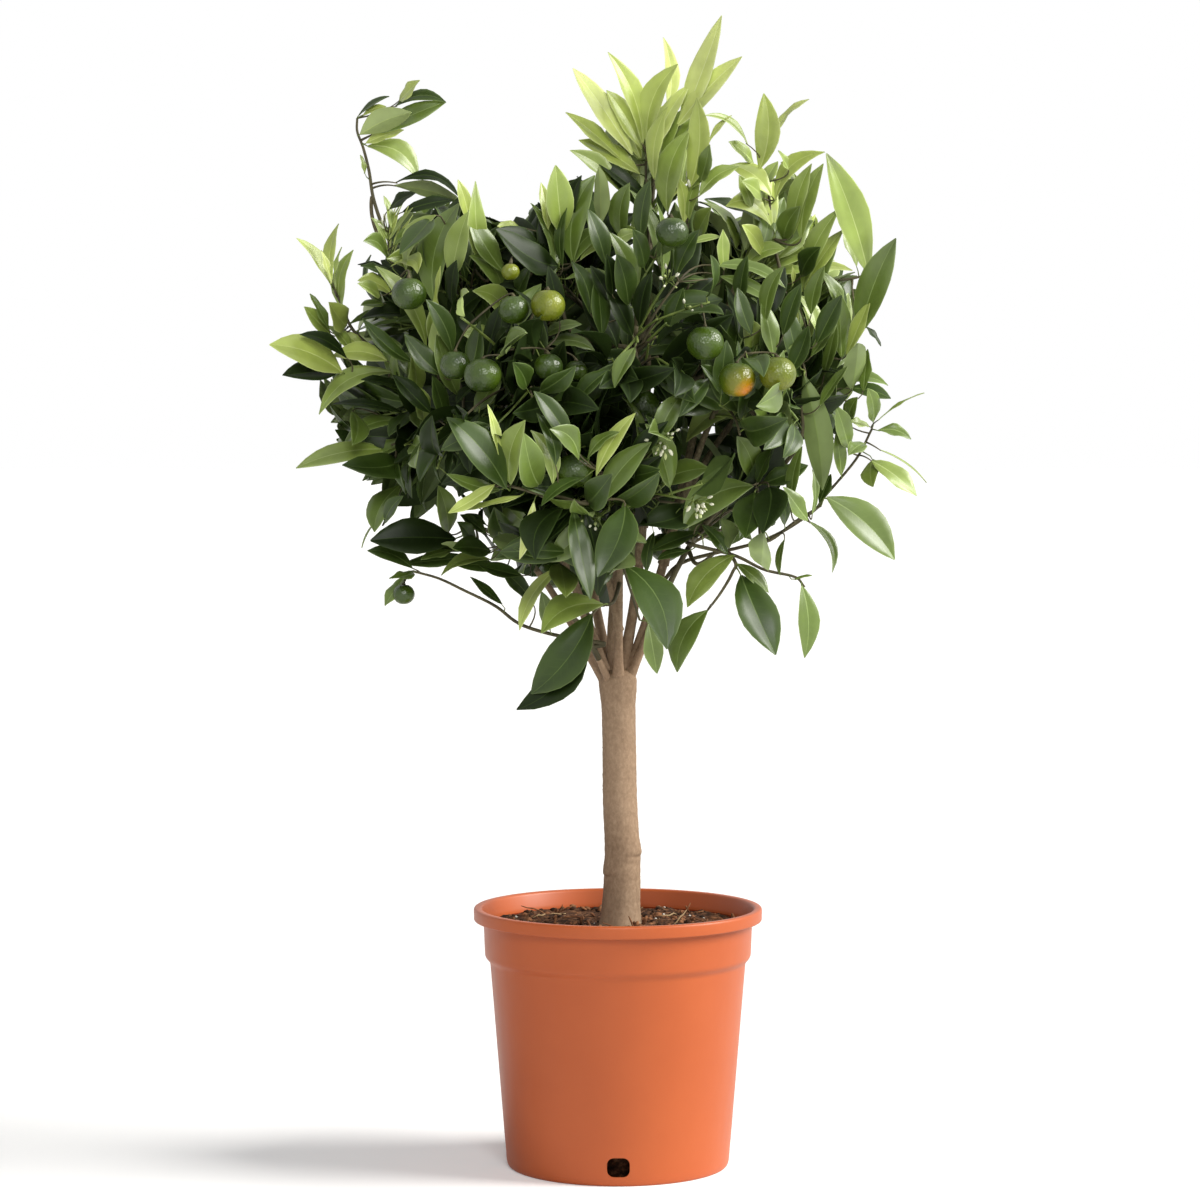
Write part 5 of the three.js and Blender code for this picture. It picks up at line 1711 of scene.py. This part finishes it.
def twigMaterial(name):
    stops, roughness = twigFinishes[name]
    return mottled(name, stops, 90, roughness, (500, 0.12), (1, 1, 0.6), specular=0.35)


def leafMaterial(name, part, screenColor, ribAndHighlightColor, rough, shine):
    v = veinSettings
    color = fromScreen(*screenColor)
    material, shader, tree = newMaterial(f"{name} leaf {part}", rough, specular=shine)
    darker, lighter = tuple(c * 0.74 for c in color), tuple(min(1, c * 1.3) for c in color)
    cloud = noiseNode(tree, placeNode(tree), 34, 3)
    drift = rampNode(tree, cloud, [(0.3, darker), (0.7, lighter)], screen=False)
    if part == "rib":
        setInputs(tree, shader, {"Base Color": drift})
        return material
    # side veins run from the rib towards the edge and the tip
    spread = addNode(tree, "UVMap", uv_map="blade").outputs["UV"]
    parts = addNode(tree, "SeparateXYZ", {"Vector": spread}).outputs
    sideways = mathNode(tree, "ABSOLUTE", parts["Y"])
    slant = mathNode(tree, "MULTIPLY_ADD", sideways, v["slant"], parts["X"])
    waves = mathNode(tree, "SINE", mathNode(tree, "MULTIPLY", slant, v["often"]))
    veins = rangeNode(tree, waves, v["from"], toMax=v["paler"])
    # paler towards the leaf's edge in the rib colour: a painted highlight along the rim
    rimHighlight = rangeNode(tree, sideways, v["highlightRimFrom"], toMax=v["highlightRimPaler"])
    lined = mixNode(tree, mathNode(tree, "MAXIMUM", veins, rimHighlight), drift, (*fromScreen(*ribAndHighlightColor), 1))
    setInputs(tree, shader, {"Base Color": lined})
    bumpNode(tree, veins, shader, v["depth"][part == "under"], 0.5)
    return material


def leafMaterials(name):
    top, under, rib, rough, shine = leafTints[name]
    parts = (("top", top, rough), ("under", under, 0.55), ("rib", rib, 0.55))
    return [leafMaterial(name, part, color, rib, roughness, shine) for part, color, roughness in parts]


def bladeShapes(group):
    # corners of many leaves at once: leaf, station, column, x y z
    def gathered(find):
        return np.array([find(leaf) for leaf in group])[:, None]

    def drawn(low, high, key):
        return gathered(lambda leaf: blend(low, high, chance(*leaf["keys"], key)))

    length, width = gathered(lambda leaf: leaf["length"]), gathered(lambda leaf: leaf["width"])
    flatter = gathered(lambda leaf: 0.45 if "bow" in leaf else 1)
    softer = gathered(lambda leaf: 0.75 if leaf["tint"] < 2 else 1)
    rise = drawn(0.05, 0.3, 41)
    bend = drawn(0.35, 1.0, 42) * softer * (0.4 + 0.6 * flatter)
    sway = drawn(-0.05, 0.05, 43) + gathered(lambda leaf: leaf.get("bow", 0))
    twist = drawn(-0.5, 0.5, 44) * flatter
    fold = drawn(0.22, 0.62, 45) * (0.35 + 0.65 * flatter)
    wave = drawn(0.0, 1.3, 46)
    phase = drawn(0, 6.28, 47)
    s = leafStations[None, :]
    step = length / (len(leafStations) - 1)
    angle = rise - bend * s**1.3
    foot = np.zeros_like(length)
    x = np.concatenate((foot, np.cumsum(np.cos(angle[:, 1:]) * step, axis=1)), axis=1)
    z = np.concatenate((foot, np.cumsum(np.sin(angle[:, 1:]) * step, axis=1)), axis=1)
    chord = np.hypot(x[:, -1:], z[:, -1:])
    cosine, sine = x[:, -1:] / chord, z[:, -1:] / chord
    x, z = (x * cosine + z * sine) * length / chord, (z * cosine - x * sine) * length / chord
    angle = angle - np.arctan2(sine, cosine)
    y = sway * length * 4 * s * (1 - s)
    half = width / 2 * leafOutline[None, :]
    rib = np.minimum(leafSettings["rib"] * (1 - 0.75 * s) * np.ones_like(length), half * 0.4)
    edge = np.maximum(half - leafSettings["edge"], half * 0.8)
    columns = np.stack((-half, -edge, -half * 0.5, -rib, rib, half * 0.5, edge, half), axis=2)
    share = np.abs(columns) / np.maximum(half, 1e-6)[:, :, None]
    lift = fold[:, :, None] * np.abs(columns) * (1 - 0.35 * share)
    ripple = wave[:, :, None] * np.sin(11 * s[:, :, None] + phase[:, :, None] + 1.6 * np.sign(columns)) * share**2
    lift = lift + ripple * np.sin(math.pi * s)[:, :, None]
    roll = (twist * s)[:, :, None]
    across = columns * np.cos(roll) - lift * np.sin(roll)
    above = columns * np.sin(roll) + lift * np.cos(roll)
    # eight columns on top and four below, which meet the outer two of the top
    order = [0, 1, 2, 3, 4, 5, 6, 7, 2, 3, 4, 5]
    raised = np.array([0, 1, 1, 0.5, 0.5, 1, 1, 0, -1, -2.2, -2.2, -1]) * leafSettings["thickness"] / 2
    high, across = above[:, :, order] + raised, across[:, :, order]
    sin, cos = np.sin(angle)[:, :, None], np.cos(angle)[:, :, None]
    return np.stack((x[:, :, None] - high * sin, y[:, :, None] + across, z[:, :, None] + high * cos), axis=3)


def bladeFaces():
    topPaint, underPaint, ribAndHighlightPaint = range(3)
    wide, last = 12, (leafSettings["stations"] - 1) * 12
    above, below = (0, 1, 2, 3, 4, 5, 6, 7), (0, 8, 9, 10, 11, 7)
    faces, paint = [], []
    # the midrib and the two thin edge strips take the rib material; on the edge strips it is a painted highlight
    for r in range(0, last, wide):
        for c, (a, b) in enumerate(zip(above, above[1:])):
            faces.append((r + a, r + wide + a, r + wide + b, r + b))
            paint.append(ribAndHighlightPaint if c in (0, 3, 6) else topPaint)
        for c, (a, b) in enumerate(zip(below, below[1:])):
            faces.append((r + a, r + b, r + wide + b, r + wide + a))
            paint.append(ribAndHighlightPaint if c == 2 else underPaint)
    foot = above + below[-2:0:-1]
    tip = tuple(last + c for c in reversed(foot))
    return faces + [foot, tip], paint + [ribAndHighlightPaint, ribAndHighlightPaint]


def makeLeaves():
    faces, paint = bladeFaces()
    columns = np.array([-1, -0.9, -0.5, -0.05, 0.05, 0.5, 0.9, 1, -0.5, -0.05, 0.05, 0.5])
    spread = np.stack(np.meshgrid(leafStations, columns, indexing="ij"), axis=2).reshape(-1, 2)
    # two pieces stand for all the masses of the solids
    young = ["top", "upper_right"]
    replaced = {"leaves_young_1": young, "leaves_deep_1": [name for name in massNames if name not in young]}
    for number, tint in enumerate(leafTints):
        group = [leaf for leaf in leaves if leaf["tint"] == number]
        materials = leafMaterials(tint)
        parts = math.ceil(len(group) / leafSettings["mostInPiece"])
        for part in range(parts):
            share = group[part::parts]
            pile = newPile()
            for leaf, shape in zip(share, bladeShapes(share)):
                turn = np.vstack((leaf["axis"], np.cross(leaf["face"], leaf["axis"]), leaf["face"]))
                addToPile(pile, leaf["base"] + shape.reshape(-1, 3) @ turn, faces, paint, spread)
            name = f"leaves_{tint}_{part + 1}"
            shownFor = ["foliage_" + mass for mass in replaced.get(name, ())]
            makePiece(name, pile, materials, shownFor, leafSettings["sharp"])


def addLeafStalks():
    # from the nearest wood to each leaf, curving in along the leaf's own line
    stalks = newPile()
    places = np.array([point for point, _ in woodPoints])
    for leaf in leaves:
        base, axis = leaf["base"], leaf["axis"]
        if "bow" in leaf:
            leaf["root"] = places[np.linalg.norm(places - base + axis * 4, axis=1).argmin()]
        radius = leafSettings["stalkRadius"] * between(leaf["length"] / 60, 0.6, 1.2)
        end = base + axis * 1.5
        span = np.linalg.norm(end - leaf["root"])
        curve = (leaf["root"], end - axis * span * 0.5, end)
        if span < leafSettings["longStalk"]:
            line = [quadraticAt(curve, t) for t in (0, 0.5, 1)]
            addTube(stalks, line, [radius * 1.3, radius, radius * 0.8], 4)
        else:
            line = [quadraticAt(curve, t) for t in np.linspace(0, 1, 7)]
            addTube(wood["twigs"], line, [radius * blend(1.7, 0.9, t / 6) for t in range(7)], 6)
    makePiece("leaf_stalks", stalks, [twigMaterial("leaf stalk")])


makeLeaves()
addLeafStalks()
print(len(leaves), "leaves in all")


# fruit meshes

peelSettings = {"rough": 0.33, "cloud": 55, "pits": 620, "pitDepth": 0.45, "pitStrength": 0.6, "wobble": 0.006}


def addFruit(pile, middle, radius, keys):
    f = fruitSettings
    corners = [middle + up * radius * f["flat"] * 0.93]
    for r in range(1, f["rings"]):
        tilt = math.pi * r / f["rings"]
        for k in range(f["facets"]):
            turn = fullTurn * k / f["facets"]
            bulge = 1 + 0.02 * math.sin(3 * turn + 6 * chance(*keys, 1)) + 0.012 * math.sin(8 * turn)
            dimple = 1 - 0.09 * math.exp(-((tilt / 0.3) ** 2)) - 0.05 * math.exp(-(((math.pi - tilt) / 0.25) ** 2))
            wide = radius * bulge * math.sin(tilt)
            high = radius * f["flat"] * dimple * math.cos(tilt)
            corners.append(middle + np.array([wide * math.cos(turn), wide * math.sin(turn), high]))
    corners.append(middle - up * radius * f["flat"] * 0.95)
    addToPile(pile, corners, stackFaces(f["rings"] - 1, f["facets"], topFirst=True))


def peelMaterial(finish):
    p, f = peelSettings, fruitSettings
    names = {"green": "green peel", "light": "light green peel", "turning": "turning peel"}
    material, shader, tree = newMaterial(names[finish], p["rough"])
    vector = placeNode(tree)
    if finish == "turning":
        # green above, turning orange low on one side
        fruit = next(fruit for fruit in fruits if fruit["finish"] == finish)
        ripe = fruit["middle"] + np.array([0.5, -0.6, -0.6]) * fruit["radius"]
        away = addNode(tree, "VectorMath", {0: vector, 1: tuple(ripe * mm)}, operation="DISTANCE").outputs["Value"]
        uneven = mathNode(tree, "MULTIPLY_ADD", noiseNode(tree, vector, 90, 3), p["wobble"], away)
        share = rangeNode(tree, uneven, fromMax=fruit["radius"] * mm * 2)
    else:
        share = noiseNode(tree, vector, p["cloud"], 3)
    setInputs(tree, shader, {"Base Color": rampNode(tree, share, f[finish])})
    pits = addNode(tree, "TexVoronoi", {"Scale": p["pits"], "Vector": vector}).outputs["Distance"]
    bumpNode(tree, pits, shader, p["pitDepth"], p["pitStrength"])
    return material


def nearestWood(place):
    # near, and rather behind and above than in front
    points = np.array([point for point, _ in woodPoints])
    away = np.linalg.norm(points - place, axis=1)
    cost = away + 1.6 * np.maximum(place[1] - points[:, 1], 0) + 0.5 * np.maximum(place[2] - points[:, 2], 0)
    return points[cost.argmin()]


def ballIsClear(number, middle, radius):
    return clearOfNeighbours(number, middle)[0] > radius + 0.3 and limbGap(middle) > radius + 1.2


def hangHiddenFruit():
    # a few more below shoots at the sides and back, where there is room
    f = fruitSettings
    taken = np.array([leaf["base"] + leaf["axis"] * leaf["length"] * 0.5 for leaf in leaves])
    added = 0
    for i, (point, number) in enumerate(woodPoints):
        outward = unit(point - crownHeart)
        if number is None or chance(i, 91) > f["hiddenShare"] or added > f["mostHidden"]:
            continue
        if outward[1] < 0.25 or abs(point[0]) > 150:
            continue
        radius = f["radius"] * blend(0.75, 1, chance(i, 92))
        middle = point + outward * radius * 0.9 - up * radius * 1.2
        if np.linalg.norm(taken - middle, axis=1).min() < radius + 5 or not ballIsClear(number, middle, radius):
            continue
        if min(np.linalg.norm(fruit["middle"] - middle) for fruit in fruits) < radius * 2.4:
            continue
        fruits.append({"middle": middle, "radius": radius, "open": outward, "finish": "green"})
        added += 1


def makeFruit():
    hangHiddenFruit()
    piles = {"green": newPile(), "light": newPile(), "turning": newPile()}
    for i, fruit in enumerate(fruits):
        addFruit(piles[fruit["finish"]], fruit["middle"], fruit["radius"], (i, 60))
        crown = fruit["middle"] + up * fruit["radius"] * 0.86
        foot = nearestWood(crown)
        middle = crown + np.array([0, 0.55, 0.25]) * np.linalg.norm(crown - foot)
        line = [quadraticAt((foot, middle, crown), t) for t in np.linspace(0, 1, 7)]
        addTube(wood["twigs"], line, [0.9, 0.75, 0.65, 0.6, 0.6, 0.75, 1.5], 6)
    for finish, pile in piles.items():
        makePiece("fruit_" + finish, pile, [peelMaterial(finish)])


makeFruit()
print(len(fruits), "fruit in all")


# blossom buds in small clusters at the ends of short stalks

# across, depth, height of each cluster and how many buds
budClusters = [
    (-30, -140, 545, 5), (-52, -120, 566, 4), (38, -110, 608, 3), (54, -100, 624, 5), (44, -96, 594, 3),
    (29, -150, 478, 16), (87, -120, 429, 9), (108, -118, 429, 8), (-18, -150, 445, 6), (-150, -60, 645, 10),
    (52, -60, 695, 7),
]
budFinishes = {
    "bud cream": [(0.3, (206, 206, 176)), (0.7, (232, 232, 212))],
    "bud green": [(0.3, (150, 164, 96)), (0.7, (186, 196, 134))],
}
budSettings = {"stalk": (5, 12), "stalkRadii": [0.45, 0.4, 0.4], "size": (1.3, 2.6), "creamShare": 0.6}


def addBud(pile, place, aim, size, paint):
    line = [place + aim * size * t for t in (-1, -0.55, 0, 0.55, 1)]
    addTube(pile, line, [size * share for share in (0.12, 0.42, 0.52, 0.4, 0.08)], 7, paint)


def makeBuds():
    b = budSettings
    pile = newPile()
    spots = [point for point, _ in woodPoints]
    for number, (x, y, z, count) in enumerate(budClusters):
        wanted = np.array([x, y, z], float)
        foot = min(spots, key=lambda point: float(np.linalg.norm(point - wanted)))
        outward = unit(wanted - crownHeart)
        for i in range(count):
            keys = (number, i, 70)
            aim = unit(outward + np.array([chance(*keys, k) - 0.5 for k in (1, 2, 3)]) * 1.8)
            end = foot + aim * blend(*b["stalk"], chance(*keys, 4))
            addTube(wood["shoots"], [foot, (foot + end) / 2 + up, end], b["stalkRadii"], 4)
            size, green = blend(*b["size"], chance(*keys, 5)), chance(*keys, 6) >= b["creamShare"]
            addBud(pile, end + aim * 1.5, aim, size, int(green))
    materials = [mottled(name, stops, 200, 0.5) for name, stops in budFinishes.items()]
    makePiece("blossom_buds", pile, materials)


makeBuds()

# twig meshes last, when everything that they carry has its stalk
makePiece("twigs", wood["twigs"], [twigMaterial("twig bark")])
makePiece("green_shoots", wood["shoots"], [twigMaterial("green shoot")])
print("the twigs are made")
